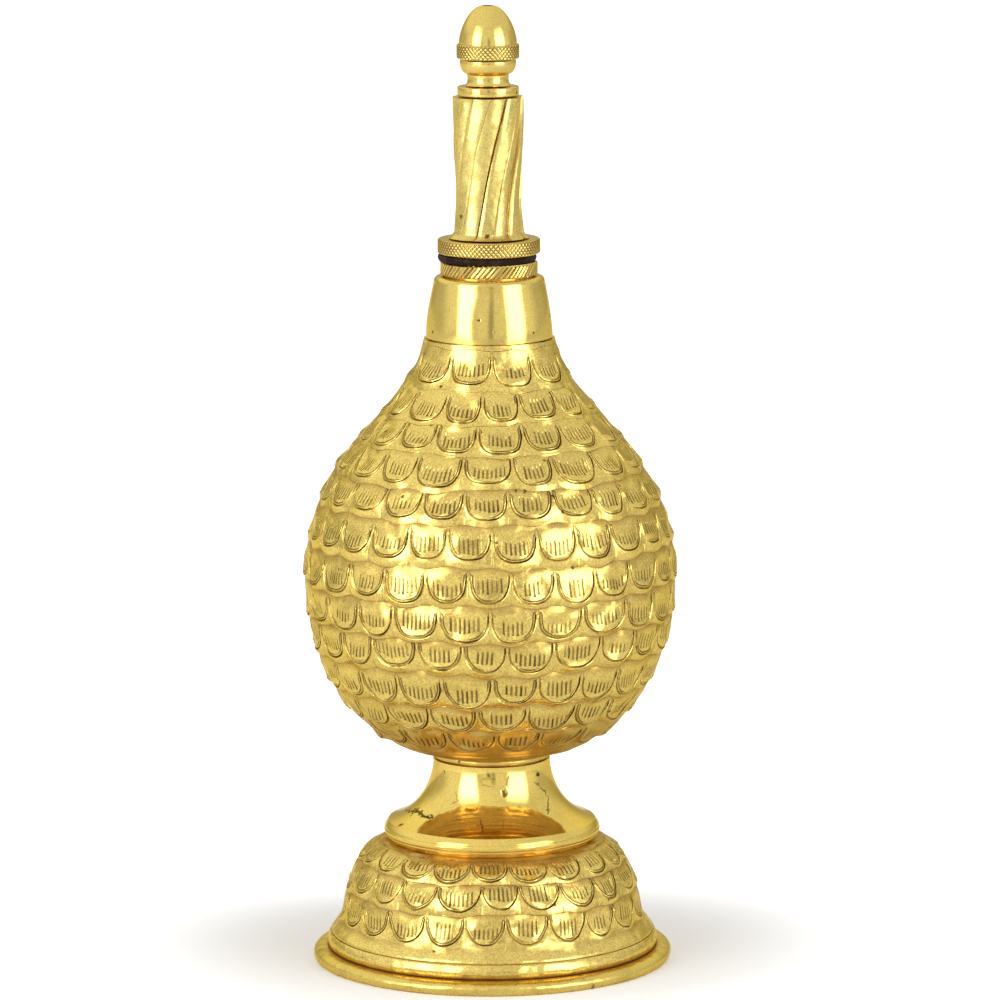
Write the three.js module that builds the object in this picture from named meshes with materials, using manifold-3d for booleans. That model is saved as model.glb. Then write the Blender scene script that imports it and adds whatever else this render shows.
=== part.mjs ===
// Brass aspergillum: a holy-water sprinkler with a chased vessel on a spun foot and a screwed spout.
// Millimetres, +Z up. The origin is the middle of the foot's flat underside.

import * as THREE from "three";
import { mergeVertices } from "three/addons/utils/BufferGeometryUtils.js";
import Module from "manifold-3d";

const wasm = await Module();
wasm.setup();

// Clearances
const SEAT_GAP = 0.3; // between two pieces that rest on each other
const FIT_GAP = 0.3; // between a spigot, stud or sleeve and its hole, in radius
const THREAD_GAP = 0.3; // between a male and a female thread, in radius

// Facets round a turned piece
const FACETS_WIDE = 48;
const FACETS_NECK = 32;
const FACETS_SMALL = 28;
const FACETS_STUD = 16;

// Base ring, under the dome's skirt
const RIM_LEDGE = 3.6; // how far it stands out past the skirt
const RIM_SEAT = 2.9; // how far it reaches in under the skirt
const RIM_THICKNESS = 3.4;
const RIM_TOP_ROUND = 2.6; // how far in the edge's upper rounding starts
const RIM_BOTTOM_ROUND = 1.0;

// Chased dome with its grooved skirt
const DOME_HEIGHT = 28.3;
const DOME_WALL = 1.1;
const SKIRT_RADIUS = 43.4;
const SKIRT_LIP = 3.0; // height of the skirt's rounded edge
const SKIRT_ROUND = 0.5;
const SKIRT_HEIGHT = 8.5;
const SKIRT_GROOVE = 0.4; // depth and half width of the two turned grooves
const SKIRT_FLARE = 4.3; // how much wider the skirt is than the foot of the dome's side
const DOME_TOP_RADIUS = 28.6;
const DOME_SIDE_HANDLE = 14.4; // how long the dome's side stays upright
const DOME_TOP_HANDLE = 0.7;
const DOME_FIRST_ROW = 5.9; // along the outline, from the top edge to the first row of arcs
const DOME_ROW_PITCH = 8.2;
const DOME_PLAIN_FOOT = 1.2; // plain brass under the last row

// Plain cone with a rounded lip
const CONE_HEIGHT = 20.7;
const CONE_WALL = 1.2;
const CONE_TOP_RADIUS = 15.6;
const CONE_LIP_RADIUS = 28.4;
const CONE_LIP_HEIGHT = 4.6;
const CONE_LIP_ROUND = 0.7;
const CONE_TOP_HANDLE = 7.8;
const CONE_LIP_HANDLE = 7.0;
const CONE_LIP_SLOPE = 37; // degrees from level, where the cone runs out on the lip

// Bead between the cone and the vessel
const BEAD_RADIUS = 15.3;
const BEAD_HEIGHT = 1.9;
const BEAD_ROUND = 0.5;
const BEAD_BORE = 9.0;

// Stud, washer and nut that hold the foot on the vessel
const STUD_RADIUS = 4.0;
const STUD_TAIL = 3.0; // how far the stud shows under the nut
const WASHER_RADIUS = 9.0;
const WASHER_THICKNESS = 1.6;
const NUT_FLATS = 13.0;
const NUT_HEIGHT = 6.5;

// Vessel
const BULB_WALL = 1.2;
const BULB_SEAT_RADIUS = 16.5; // flat land under the vessel
const BULB_BELLY_RADIUS = 48.4;
const BULB_BELLY_HEIGHT = 45.7;
const BULB_SHOULDER_HEIGHT = 62.8; // from the belly to the mouth
const BULB_MOUTH_RADIUS = 17.0;
const BULB_SEAT_HANDLE = 19.0;
const BULB_SEAT_RISE = 2.6;
const BULB_UNDER_HANDLE = 24.2;
const BULB_OVER_HANDLE = 35.2;
const BULB_MOUTH_SPREAD = 3.7;
const BULB_MOUTH_HANDLE = 20.1;
const BULB_FIRST_ROW = 9.7; // along the outline, from the mouth to the first row of arcs
const BULB_ROW_PITCH = 9.9;
const BULB_PLAIN_FOOT = 11.5; // plain brass under the last row

// Chased scales, on the vessel and the dome
const SCALE_WIDTH = 11.5;
const SCALE_SINK = 0.35; // how far an arc is sunk in
const SCALE_BAND = 0.35; // how far the band under it stands out
const SCALE_BAND_DROP = 1.2; // from the arc to the band's crown
const SCALE_CUSP_GAP = 1.3; // from an arc's cusps up to the band above

// Neck shell
const NECK_HEIGHT = 15.9;
const NECK_WALL = 1.2;
const NECK_FOOT_RADIUS = 16.4;
const NECK_TOP_RADIUS = 14.4;
const NECK_ROUND = 1.5;
const NECK_SPIGOT = 4.0; // how far it reaches down into the vessel's mouth
const NECK_FOOT_HANDLE = 5.4;
const NECK_TOP_HANDLE = 3.8;
const NECK_TOP_SPREAD = 0.8;

// Neck ring with its threaded sleeve
const RING_RADIUS = 12.6;
const RING_THICKNESS = 3.5;
const RING_EDGE = 0.35; // chamfer of a knurled edge
const SLEEVE_RADIUS = 11.7;
const SLEEVE_DEPTH = 9.0; // below the ring

// Sealing washer
const GASKET_RADIUS = 12.9;
const GASKET_THICKNESS = 1.8;
const GASKET_SHIFT = 0.5; // how far it lies off the axis
const GASKET_PLAY = 0.8; // round the plug, in radius

// Spout flange with its threaded plug
const PLUG_THREAD = { radius: 9.8, depth: 0.8, pitch: 1.5, facets: 18 };
const PLUG_LENGTH = 12.0; // below the flange
const FLANGE_RADIUS = 13.3;
const FLANGE_THICKNESS = 3.8;
const SPOUT_BORE = 3.9; // radius of the way through plug, stem and collar

// Fluted stem
const STEM_HEIGHT = 36.4;
const STEM_RADIUS = 9.15;
const STEM_WAIST = 0.7; // how much slimmer the stem is at its waist
const STEM_WAIST_HEIGHT = 10.0;
const STEM_WAIST_REACH = 20.0; // from the waist up to the full radius
const STEM_FLUTES = 8;
const STEM_FLUTE_DEPTH = 0.9;
const STEM_TWIST = 44; // degrees, from foot to top
const STEM_FLARE = 1.3; // how far the foot of the stem spreads
const STEM_FLARE_HEIGHT = 1.6;
const STEM_STEP = 3.6;

// Collar on the stem
const COLLAR_RADIUS = 8.0;
const COLLAR_HEIGHT = 2.4;

// Head with its cup and the cap's spigot
const HEAD_NECK_RADIUS = 5.4;
const HEAD_NECK_HEIGHT = 2.9;
const CUP_HEIGHT = 3.6;
const CUP_RADIUS = 7.3;
const HEAD_BORE = 3.1;
const SPIGOT_THREAD = { radius: 5.2, depth: 0.6, pitch: 1.0, facets: 16 };
const SPIGOT_LENGTH = 5.2;

// Seal inside the cap
const SEAL_THICKNESS = 1.0;

// Acorn cap
const BAND_RADIUS = 8.1;
const BAND_HEIGHT = 3.8;
const ACORN_RADIUS = 7.5;
const ACORN_HEIGHT = 9.8;
const ACORN_SIDE_HANDLE = 3.8;
const ACORN_TIP_HANDLE = 3.1;
const ACORN_TIP_DROP = 0.3;
const TIP_RADIUS = 1.5; // small flat round the hole
const TIP_HOLE = 0.9;
const TIP_THICKNESS = 3.0; // brass round the tip hole

// Radii that follow the skirt
const RIM_RADIUS = SKIRT_RADIUS + RIM_LEDGE;
const RIM_BORE = SKIRT_RADIUS - RIM_SEAT;
const DOME_FOOT_RADIUS = SKIRT_RADIUS - SKIRT_FLARE;

// The seal lies on the spigot, narrower than the cap's thread, so that it lifts off with the cap.
const SEAL_RADIUS = SPIGOT_THREAD.radius - SPIGOT_THREAD.depth - RING_EDGE / 2;

// Levels, worked out from the foot up
const DOME_BASE = RIM_THICKNESS + SEAT_GAP;
const DOME_TOP = DOME_BASE + DOME_HEIGHT;
const CONE_BASE = DOME_TOP + SEAT_GAP;
const CONE_TOP = CONE_BASE + CONE_HEIGHT;
const BEAD_BASE = CONE_TOP + SEAT_GAP;
const BEAD_TOP = BEAD_BASE + BEAD_HEIGHT;
const BULB_BASE = BEAD_TOP + SEAT_GAP;
const BELLY_LEVEL = BULB_BASE + BULB_BELLY_HEIGHT;
const MOUTH_LEVEL = BELLY_LEVEL + BULB_SHOULDER_HEIGHT;
const NECK_BASE = MOUTH_LEVEL + SEAT_GAP;
const NECK_TOP = NECK_BASE + NECK_HEIGHT;
const RING_BASE = NECK_TOP + SEAT_GAP;
const RING_TOP = RING_BASE + RING_THICKNESS;
const GASKET_BASE = RING_TOP + SEAT_GAP / 2;
const GASKET_TOP = GASKET_BASE + GASKET_THICKNESS;
const FLANGE_BASE = GASKET_TOP + SEAT_GAP / 2;
const FLANGE_TOP = FLANGE_BASE + FLANGE_THICKNESS;
const STEM_BASE = FLANGE_TOP + SEAT_GAP;
const STEM_TOP = STEM_BASE + STEM_HEIGHT;
const COLLAR_BASE = STEM_TOP + SEAT_GAP;
const COLLAR_TOP = COLLAR_BASE + COLLAR_HEIGHT;
const HEAD_BASE = COLLAR_TOP + SEAT_GAP;
const CUP_BASE = HEAD_BASE + HEAD_NECK_HEIGHT;
const CUP_TOP = CUP_BASE + CUP_HEIGHT;
const SPIGOT_TOP = CUP_TOP + SPIGOT_LENGTH;
const CAP_BASE = CUP_TOP + SEAT_GAP;
const BAND_TOP = CAP_BASE + BAND_HEIGHT;
const CAP_TOP = BAND_TOP + ACORN_HEIGHT;
const SEAL_BASE = SPIGOT_TOP + SEAT_GAP;
const SEAL_TOP = SEAL_BASE + SEAL_THICKNESS;
const WASHER_TOP = DOME_TOP - DOME_WALL - SEAT_GAP;
const NUT_TOP = WASHER_TOP - WASHER_THICKNESS - SEAT_GAP;
const STUD_BASE = NUT_TOP - NUT_HEIGHT - STUD_TAIL;
const STUD_TOP = BULB_BASE - SEAT_GAP;

// Materials
const brass = new THREE.MeshStandardMaterial({ color: 0xd9b84f, metalness: 1, roughness: 0.24 });
const steel = new THREE.MeshStandardMaterial({ color: 0xb4b6b8, metalness: 1, roughness: 0.4 });
const rubber = new THREE.MeshStandardMaterial({ color: 0x16130f, metalness: 0, roughness: 0.75 });

const FULL_TURN = 2 * Math.PI;
const v2 = (x, y) => new THREE.Vector2(x, y);

// Outlines

// A cubic curve as outline points. Its first point is left to what comes before it.
function bend(start, startHandle, endHandle, end, steps) {
  return new THREE.CubicBezierCurve(start, startHandle, endHandle, end).getPoints(steps).slice(1);
}

// A quarter of an ellipse as outline points. It leaves its first point level, which it leaves out too.
function quarter(from, to, steps) {
  const points = [];
  for (let i = 1; i <= steps; i++) {
    const turn = (Math.PI / 2) * (i / steps);
    points.push(v2(from.x + (to.x - from.x) * Math.sin(turn), to.y + (from.y - to.y) * Math.cos(turn)));
  }
  return points;
}

// A rounded edge that stands out to a radius half way up, and is drawn in by round at both ends.
function roundedEdge(radius, round, base, height, steps) {
  const points = [];
  for (let i = 0; i <= steps; i++) {
    const share = i / steps;
    points.push(v2(radius - round * (1 - Math.sin(Math.PI * share)), base + height * share));
  }
  return points;
}

// A straight stretch with turned V grooves, without its first point.
function groovedStretch(from, to, grooves, size) {
  const along = to.clone().sub(from);
  const points = [];
  for (let i = 1; i <= grooves; i++) {
    const middle = from.clone().addScaledVector(along, i / (grooves + 1));
    const side = along.clone().setLength(size);
    points.push(middle.clone().sub(side), v2(middle.x - side.y, middle.y + side.x), middle.clone().add(side));
  }
  return [...points, to];
}

// The same outline moved towards the axis side by the wall.
function inset(points, wall) {
  return points.map((point, i) => {
    const before = point.clone().sub(points[Math.max(i - 1, 0)]).normalize();
    const after = points[Math.min(i + 1, points.length - 1)].clone().sub(point).normalize();
    const along = before.add(after).normalize();
    return v2(point.x - along.y * wall, point.y + along.x * wall);
  });
}

// Solids

// A mesh with only positions and with its shared vertices merged, as a solid that can be cut and joined.
function solidOf(geometry) {
  const bare = geometry.clone();
  bare.deleteAttribute("normal");
  bare.deleteAttribute("uv");
  const merged = mergeVertices(bare, 1e-4);
  return new wasm.Manifold(
    new wasm.Mesh({
      numProp: 3,
      vertProperties: new Float32Array(merged.attributes.position.array),
      triVerts: new Uint32Array(merged.index.array),
    }),
  );
}

function geometryOf(solid) {
  const mesh = solid.getMesh();
  return indexed(Array.from(mesh.vertProperties), Array.from(mesh.triVerts));
}

function indexed(positions, faces) {
  const geometry = new THREE.BufferGeometry();
  geometry.setAttribute("position", new THREE.Float32BufferAttribute(positions, 3));
  geometry.setIndex(faces);
  return geometry;
}

// A closed outline of radius and height, turned round the Z axis with its faces pointing out. An outline
// with points on the axis starts and ends there.
function turned(outline, facets) {
  const points = THREE.ShapeUtils.area(outline) < 0 ? outline.slice().reverse() : outline.slice();
  const solid = points[0].x === 0 && points.at(-1).x === 0;
  if (!solid) points.push(points[0]);
  return new THREE.LatheGeometry(points, facets).rotateX(Math.PI / 2);
}

function tube(inner, outer, base, top, facets) {
  return turned([v2(inner, base), v2(outer, base), v2(outer, top), v2(inner, top)], facets);
}

function rod(radius, base, top, facets) {
  return turned([v2(0, base), v2(radius, base), v2(radius, top), v2(0, top)], facets);
}

// A right-hand threaded rod between two levels. grow widens it, to cut the thread that it runs in.
function threadedRod(thread, base, top, grow = 0) {
  const { pitch, facets } = thread;
  const crest = thread.radius + grow;
  const root = crest - thread.depth;
  const shape = [
    { rise: 0, radius: root },
    { rise: 0.42, radius: crest },
    { rise: 0.58, radius: crest },
  ];
  const first = Math.floor(base / pitch) - 2;
  const turns = Math.ceil(top / pitch) + 2 - first;
  const rows = turns * shape.length;
  const positions = [];
  for (let row = 0; row <= rows + shape.length; row++) {
    const { rise, radius } = shape[row % shape.length];
    for (let i = 0; i < facets; i++) {
      const turn = (FULL_TURN * i) / facets;
      const z = pitch * (first + Math.floor(row / shape.length) + rise + i / facets);
      positions.push(radius * Math.cos(turn), radius * Math.sin(turn), z);
    }
  }
  // One step past the last facet is the first facet, a whole pitch higher.
  const at = (row, i) => (i < facets ? row * facets + i : (row + shape.length) * facets);
  const faces = [];
  for (let row = 0; row < rows; row++) {
    for (let i = 0; i < facets; i++) {
      faces.push(at(row, i), at(row, i + 1), at(row + 1, i + 1));
      faces.push(at(row, i), at(row + 1, i + 1), at(row + 1, i));
    }
  }
  const closeEnd = (row, z, downwards) => {
    const centre = positions.length / 3;
    positions.push(0, 0, z);
    const edge = [];
    for (let i = 0; i < facets; i++) edge.push(at(row, i));
    for (let step = shape.length; step > 0; step--) edge.push(at(row + step, 0));
    edge.forEach((place, i) => {
      const next = edge[(i + 1) % edge.length];
      if (downwards) faces.push(centre, next, place);
      else faces.push(centre, place, next);
    });
  };
  closeEnd(0, pitch * first, true);
  closeEnd(rows, pitch * (first + turns + 1), false);
  return solidOf(indexed(positions, faces)).intersect(solidOf(rod(2 * crest, base, top, facets)));
}

// Chased shells

// Lengths along an outline, and the point and the outward normal at a length.
function measured(outline) {
  const lengths = [0];
  outline.slice(1).forEach((point, i) => lengths.push(lengths[i] + point.distanceTo(outline[i])));
  const at = (length) => {
    const next = lengths.findIndex((value) => value >= length - 1e-9);
    const i = Math.max(1, next < 0 ? outline.length - 1 : next);
    const share = (length - lengths[i - 1]) / (lengths[i] - lengths[i - 1]);
    const along = outline[i].clone().sub(outline[i - 1]).normalize();
    return { point: outline[i - 1].clone().lerp(outline[i], share), normal: v2(along.y, -along.x) };
  };
  return { lengths, at };
}

// A ring of vertices round the axis, in order of their turns from the back. lift is off the outline.
function ring(outline, stops) {
  return stops.map(({ turn, length, lift }) => {
    const { point, normal } = outline.at(length);
    const radius = point.x + normal.x * lift;
    const height = point.y + normal.y * lift;
    const place = new THREE.Vector3(radius * Math.sin(turn), radius * Math.cos(turn), height);
    return { turn, length, place };
  });
}

function evenRing(outline, length, facets) {
  const stops = [];
  for (let i = 0; i < facets; i++) stops.push({ turn: (FULL_TURN * i) / facets, length, lift: 0 });
  return ring(outline, stops);
}

// One row of scales as two rings: the raised band, and the sunk arcs above it. Every ring has a vertex at
// turn 0, where a staggered row has a cusp and the others the bottom of an arc.
function scaleRow(outline, arcLength, depth, staggered) {
  const radius = outline.at(arcLength).point.x;
  const count = Math.max(3, Math.round((FULL_TURN * radius) / SCALE_WIDTH));
  const corners = [
    { across: 0, drop: 1 },
    { across: 0.29, drop: 0.74 },
    { across: 0.5, drop: 0 },
    { across: 0.71, drop: 0.74 },
  ];
  const order = staggered ? [2, 3, 0, 1] : [0, 1, 2, 3];
  const arcs = [];
  const band = [];
  for (let scale = 0; scale < count; scale++) {
    for (const i of order) {
      const { drop } = corners[i];
      const across = corners[i].across - corners[order[0]].across;
      const turn = (FULL_TURN * (scale + ((across + 1) % 1))) / count;
      const length = arcLength + depth * (1 - drop);
      arcs.push({ turn, length, lift: -SCALE_SINK * drop });
      band.push({ turn, length: length - SCALE_BAND_DROP, lift: SCALE_BAND * (0.3 + 0.7 * drop) });
    }
  }
  return [ring(outline, band), ring(outline, arcs)];
}

// The rings of all rows between the plain stretches at the outline's two ends, from the lower end up.
function scaleRows(outline, firstRow, pitch, plainFoot) {
  const total = outline.lengths.at(-1);
  const count = Math.floor((total - firstRow - plainFoot) / pitch) + 1;
  const depth = pitch - SCALE_BAND_DROP - SCALE_CUSP_GAP;
  const rings = [];
  for (let i = count - 1; i >= 0; i--) {
    rings.push(...scaleRow(outline, total - firstRow - pitch * i, depth, i % 2 === 1));
  }
  return { rings, low: total - firstRow - pitch * (count - 1), high: total - firstRow + depth };
}

// The skin between two rings that don't cross: their unrolled strip is swept from turn 0 round, and each
// triangle is made as soon as its last corner is met.
function skin(lower, upper, reach, positions) {
  const flat = (stop, side) => ({ ...stop, side, x: stop.turn * reach, y: stop.length });
  const low = [...lower, { ...lower[0], turn: FULL_TURN }].map((stop) => flat(stop, -1));
  const high = [...upper, { ...upper[0], turn: FULL_TURN }].map((stop) => flat(stop, 1));
  const area = (a, b, c) => (b.x - a.x) * (c.y - a.y) - (c.x - a.x) * (b.y - a.y);
  const face = (a, b, c) => {
    const corners = area(a, b, c) > 0 ? [a, c, b] : [a, b, c];
    for (const corner of corners) positions.push(...corner.place.toArray());
  };
  const met = [...low, ...high].sort((a, b) => a.x - b.x || a.side - b.side);
  const open = met.splice(0, 2);
  met.forEach((stop, i) => {
    const crosses = stop.side !== open.at(-1).side || i === met.length - 1;
    if (crosses) {
      for (let k = 1; k < open.length; k++) face(open[k - 1], open[k], stop);
      open.splice(0, open.length - 1);
    } else {
      while (open.length > 1 && area(open.at(-2), open.at(-1), stop) * stop.side < -1e-9) {
        face(open.at(-2), open.at(-1), stop);
        open.pop();
      }
    }
    open.push(stop);
  });
}

// A shell with chased scales on its outer skin. outer and inner run from the lower end to the upper end. A
// shell with a floor is closed there by two discs, and any other has an open lower end.
function chasedShell({ outer, inner, firstRow, pitch, plainFoot, facets, floor }) {
  const outside = measured(outer);
  const inside = measured(inner);
  const reach = Math.max(...outer.map((point) => point.x));
  const rows = scaleRows(outside, firstRow, pitch, plainFoot);
  const below = outside.lengths.filter((length) => length < rows.low - 2 * SCALE_BAND_DROP);
  const above = outside.lengths.filter((length) => length > rows.high + SCALE_BAND_DROP / 2);
  const outerRings = [
    ...below.map((length) => evenRing(outside, length, facets)),
    ...rows.rings,
    ...above.map((length) => evenRing(outside, length, facets)),
  ];
  const innerRings = inside.lengths.map((length) => evenRing(inside, length, facets));
  const positions = [];
  const wall = (one, other) => {
    one.forEach((stop, i) => {
      const next = (i + 1) % facets;
      const corners = [stop, one[next], other[i], other[i], one[next], other[next]];
      for (const corner of corners) positions.push(...corner.place.toArray());
    });
  };
  const disc = (edge, facesDown) => {
    edge.forEach((stop, i) => {
      const next = edge[(i + 1) % facets];
      const sides = facesDown ? [stop, next] : [next, stop];
      positions.push(0, 0, stop.place.z, ...sides[0].place.toArray(), ...sides[1].place.toArray());
    });
  };
  for (let i = 1; i < outerRings.length; i++) skin(outerRings[i - 1], outerRings[i], reach, positions);
  for (let i = 1; i < innerRings.length; i++) wall(innerRings[i - 1], innerRings[i]);
  wall(innerRings.at(-1), outerRings.at(-1));
  if (floor) {
    disc(outerRings[0], true);
    disc(innerRings[0], false);
  } else {
    wall(outerRings[0], innerRings[0]);
  }
  const geometry = new THREE.BufferGeometry();
  return geometry.setAttribute("position", new THREE.Float32BufferAttribute(positions, 3));
}

// Foot

function footRim() {
  const edge = v2(RIM_RADIUS, RIM_THICKNESS / 2);
  const bottom = v2(RIM_RADIUS - RIM_BOTTOM_ROUND, 0);
  const top = v2(RIM_RADIUS - RIM_TOP_ROUND, RIM_THICKNESS);
  const underEdge = quarter(bottom, edge, 3);
  const overEdge = quarter(top, edge, 3).reverse().slice(1);
  const outline = [v2(RIM_BORE, 0), bottom, ...underEdge, ...overEdge, top, v2(RIM_BORE, RIM_THICKNESS)];
  return turned(outline, FACETS_WIDE);
}

function footDome() {
  const lip = roundedEdge(SKIRT_RADIUS, SKIRT_ROUND, DOME_BASE, SKIRT_LIP, 3);
  const foot = v2(DOME_FOOT_RADIUS, DOME_BASE + SKIRT_HEIGHT);
  const edge = v2(DOME_TOP_RADIUS, DOME_TOP);
  const sideHandle = v2(foot.x, foot.y + DOME_SIDE_HANDLE);
  const topHandle = v2(edge.x + DOME_TOP_HANDLE, edge.y);
  const side = bend(foot, sideHandle, topHandle, edge, 14);
  const outer = [...lip, ...groovedStretch(lip.at(-1), foot, 2, SKIRT_GROOVE), ...side];
  const inner = inset([lip[0], lip.at(-1), foot, ...bend(foot, sideHandle, topHandle, edge, 5)], DOME_WALL);
  inner[0] = v2(lip[0].x - DOME_WALL, DOME_BASE);
  inner[inner.length - 1] = v2(DOME_TOP_RADIUS - DOME_WALL / 2, DOME_TOP - DOME_WALL);
  const bore = STUD_RADIUS + FIT_GAP;
  return chasedShell({
    outer: [...outer, v2(bore, DOME_TOP)],
    inner: [...inner, v2(bore, DOME_TOP - DOME_WALL)],
    firstRow: DOME_FIRST_ROW + (DOME_TOP_RADIUS - bore),
    pitch: DOME_ROW_PITCH,
    plainFoot: measured([...lip, foot]).lengths.at(-1) + DOME_PLAIN_FOOT,
    facets: FACETS_WIDE,
    floor: false,
  });
}

function footCone() {
  const lip = roundedEdge(CONE_LIP_RADIUS, CONE_LIP_ROUND, CONE_BASE, CONE_LIP_HEIGHT, 3);
  const start = lip.at(-1);
  const end = v2(CONE_TOP_RADIUS, CONE_TOP);
  const slope = THREE.MathUtils.degToRad(CONE_LIP_SLOPE);
  const reach = v2(-Math.cos(slope), Math.sin(slope)).setLength(CONE_LIP_HANDLE);
  const startHandle = start.clone().add(reach);
  const endHandle = v2(end.x, end.y - CONE_TOP_HANDLE);
  const side = bend(start, startHandle, endHandle, end, 7);
  const inside = inset([start, ...bend(start, startHandle, endHandle, end, 5)], CONE_WALL);
  inside[0] = v2(lip[0].x - CONE_WALL, CONE_BASE);
  inside[inside.length - 1] = v2(end.x - CONE_WALL, CONE_TOP - CONE_WALL);
  const bore = STUD_RADIUS + FIT_GAP;
  const plate = [v2(bore, CONE_TOP), v2(bore, CONE_TOP - CONE_WALL)];
  return turned([...lip, ...side, ...plate, ...inside.reverse()], FACETS_NECK);
}

function junctionRing() {
  const edge = roundedEdge(BEAD_RADIUS, BEAD_ROUND, BEAD_BASE, BEAD_HEIGHT, 4);
  return turned([v2(BEAD_BORE, BEAD_BASE), ...edge, v2(BEAD_BORE, BEAD_TOP)], FACETS_NECK);
}

function footWasher() {
  return tube(STUD_RADIUS + FIT_GAP, WASHER_RADIUS, WASHER_TOP - WASHER_THICKNESS, WASHER_TOP, FACETS_STUD);
}

function footNut() {
  const shape = new THREE.Shape();
  const corner = NUT_FLATS / Math.sqrt(3);
  for (let i = 0; i < 6; i++) {
    const turn = (FULL_TURN * i) / 6;
    shape[i ? "lineTo" : "moveTo"](corner * Math.cos(turn), corner * Math.sin(turn));
  }
  shape.holes.push(new THREE.Path().absarc(0, 0, STUD_RADIUS + FIT_GAP, 0, FULL_TURN, true));
  const nut = new THREE.ExtrudeGeometry(shape, { depth: NUT_HEIGHT, bevelEnabled: false, curveSegments: 10 });
  return nut.translate(0, 0, NUT_TOP - NUT_HEIGHT);
}

// Vessel and neck

function bulb() {
  const seat = v2(BULB_SEAT_RADIUS, BULB_BASE);
  const seatHandle = v2(BULB_SEAT_RADIUS + BULB_SEAT_HANDLE, BULB_BASE + BULB_SEAT_RISE);
  const belly = v2(BULB_BELLY_RADIUS, BELLY_LEVEL);
  const mouth = v2(BULB_MOUTH_RADIUS, MOUTH_LEVEL);
  const mouthHandle = v2(BULB_MOUTH_RADIUS + BULB_MOUTH_SPREAD, MOUTH_LEVEL - BULB_MOUTH_HANDLE);
  const under = v2(belly.x, belly.y - BULB_UNDER_HANDLE);
  const over = v2(belly.x, belly.y + BULB_OVER_HANDLE);
  const side = (steps) => [
    ...bend(seat, seatHandle, under, belly, steps),
    ...bend(belly, over, mouthHandle, mouth, steps),
  ];
  const inner = inset([seat, ...side(5)], BULB_WALL);
  inner[0] = v2(BULB_SEAT_RADIUS, BULB_BASE + BULB_WALL);
  inner[inner.length - 1] = v2(BULB_MOUTH_RADIUS - BULB_WALL, MOUTH_LEVEL);
  return chasedShell({
    outer: [seat, ...side(20)],
    inner,
    firstRow: BULB_FIRST_ROW,
    pitch: BULB_ROW_PITCH,
    plainFoot: BULB_PLAIN_FOOT,
    facets: FACETS_NECK,
    floor: true,
  });
}

function neckShell() {
  const foot = v2(NECK_FOOT_RADIUS, NECK_BASE);
  const shoulder = v2(NECK_TOP_RADIUS, NECK_TOP - NECK_ROUND);
  const footHandle = v2(foot.x, foot.y + NECK_FOOT_HANDLE);
  const topHandle = v2(shoulder.x + NECK_TOP_SPREAD, shoulder.y - NECK_TOP_HANDLE);
  const top = v2(NECK_TOP_RADIUS - NECK_ROUND, NECK_TOP);
  const rounding = quarter(top, shoulder, 3).reverse().slice(1);
  const hole = SLEEVE_RADIUS + FIT_GAP;
  const spigotOuter = BULB_MOUTH_RADIUS - BULB_WALL - FIT_GAP;
  const spigotInner = spigotOuter - NECK_WALL;
  const outline = [foot, ...bend(foot, footHandle, topHandle, shoulder, 5), ...rounding, top];
  outline.push(v2(hole, NECK_TOP), v2(hole, NECK_TOP - NECK_WALL));
  outline.push(v2(shoulder.x - NECK_WALL, shoulder.y - NECK_WALL / 2));
  outline.push(v2(spigotInner, NECK_BASE), v2(spigotInner, NECK_BASE - NECK_SPIGOT));
  outline.push(v2(spigotOuter, NECK_BASE - NECK_SPIGOT), v2(spigotOuter, NECK_BASE));
  return turned(outline, FACETS_NECK);
}

function knurledEdge(radius, base, top) {
  const inner = radius - RING_EDGE;
  return [v2(inner, base), v2(radius, base + RING_EDGE), v2(radius, top - RING_EDGE), v2(inner, top)];
}

function neckRing() {
  const end = RING_BASE - SLEEVE_DEPTH;
  const outline = [v2(0, end), v2(SLEEVE_RADIUS, end), v2(SLEEVE_RADIUS, RING_BASE)];
  outline.push(...knurledEdge(RING_RADIUS, RING_BASE, RING_TOP), v2(0, RING_TOP));
  const blank = solidOf(turned(outline, FACETS_NECK));
  return geometryOf(blank.subtract(threadedRod(PLUG_THREAD, end - 1, RING_TOP + 1, THREAD_GAP)));
}

function gasket() {
  return tube(PLUG_THREAD.radius + GASKET_PLAY, GASKET_RADIUS, GASKET_BASE, GASKET_TOP, FACETS_NECK);
}

// Spout

function spoutFlange() {
  const edge = knurledEdge(FLANGE_RADIUS, FLANGE_BASE, FLANGE_TOP);
  const disc = [v2(0, FLANGE_BASE), ...edge, v2(0, FLANGE_TOP)];
  const end = FLANGE_BASE - PLUG_LENGTH;
  const plug = threadedRod(PLUG_THREAD, end, FLANGE_BASE + RING_EDGE);
  const blank = solidOf(turned(disc, FACETS_NECK)).add(plug);
  return geometryOf(blank.subtract(solidOf(rod(SPOUT_BORE, end - 1, FLANGE_TOP + 1, FACETS_STUD))));
}

// The stem's radius at a height above its foot, before its flutes are cut.
function stemRadius(height) {
  const reach = height < STEM_WAIST_HEIGHT ? STEM_WAIST_HEIGHT : STEM_WAIST_REACH;
  const away = Math.min(1, Math.abs(height - STEM_WAIST_HEIGHT) / reach);
  const flare = Math.max(0, 1 - height / STEM_FLARE_HEIGHT);
  return STEM_RADIUS - STEM_WAIST * Math.cos((Math.PI / 2) * away) ** 2 + STEM_FLARE * flare * flare;
}

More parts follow.
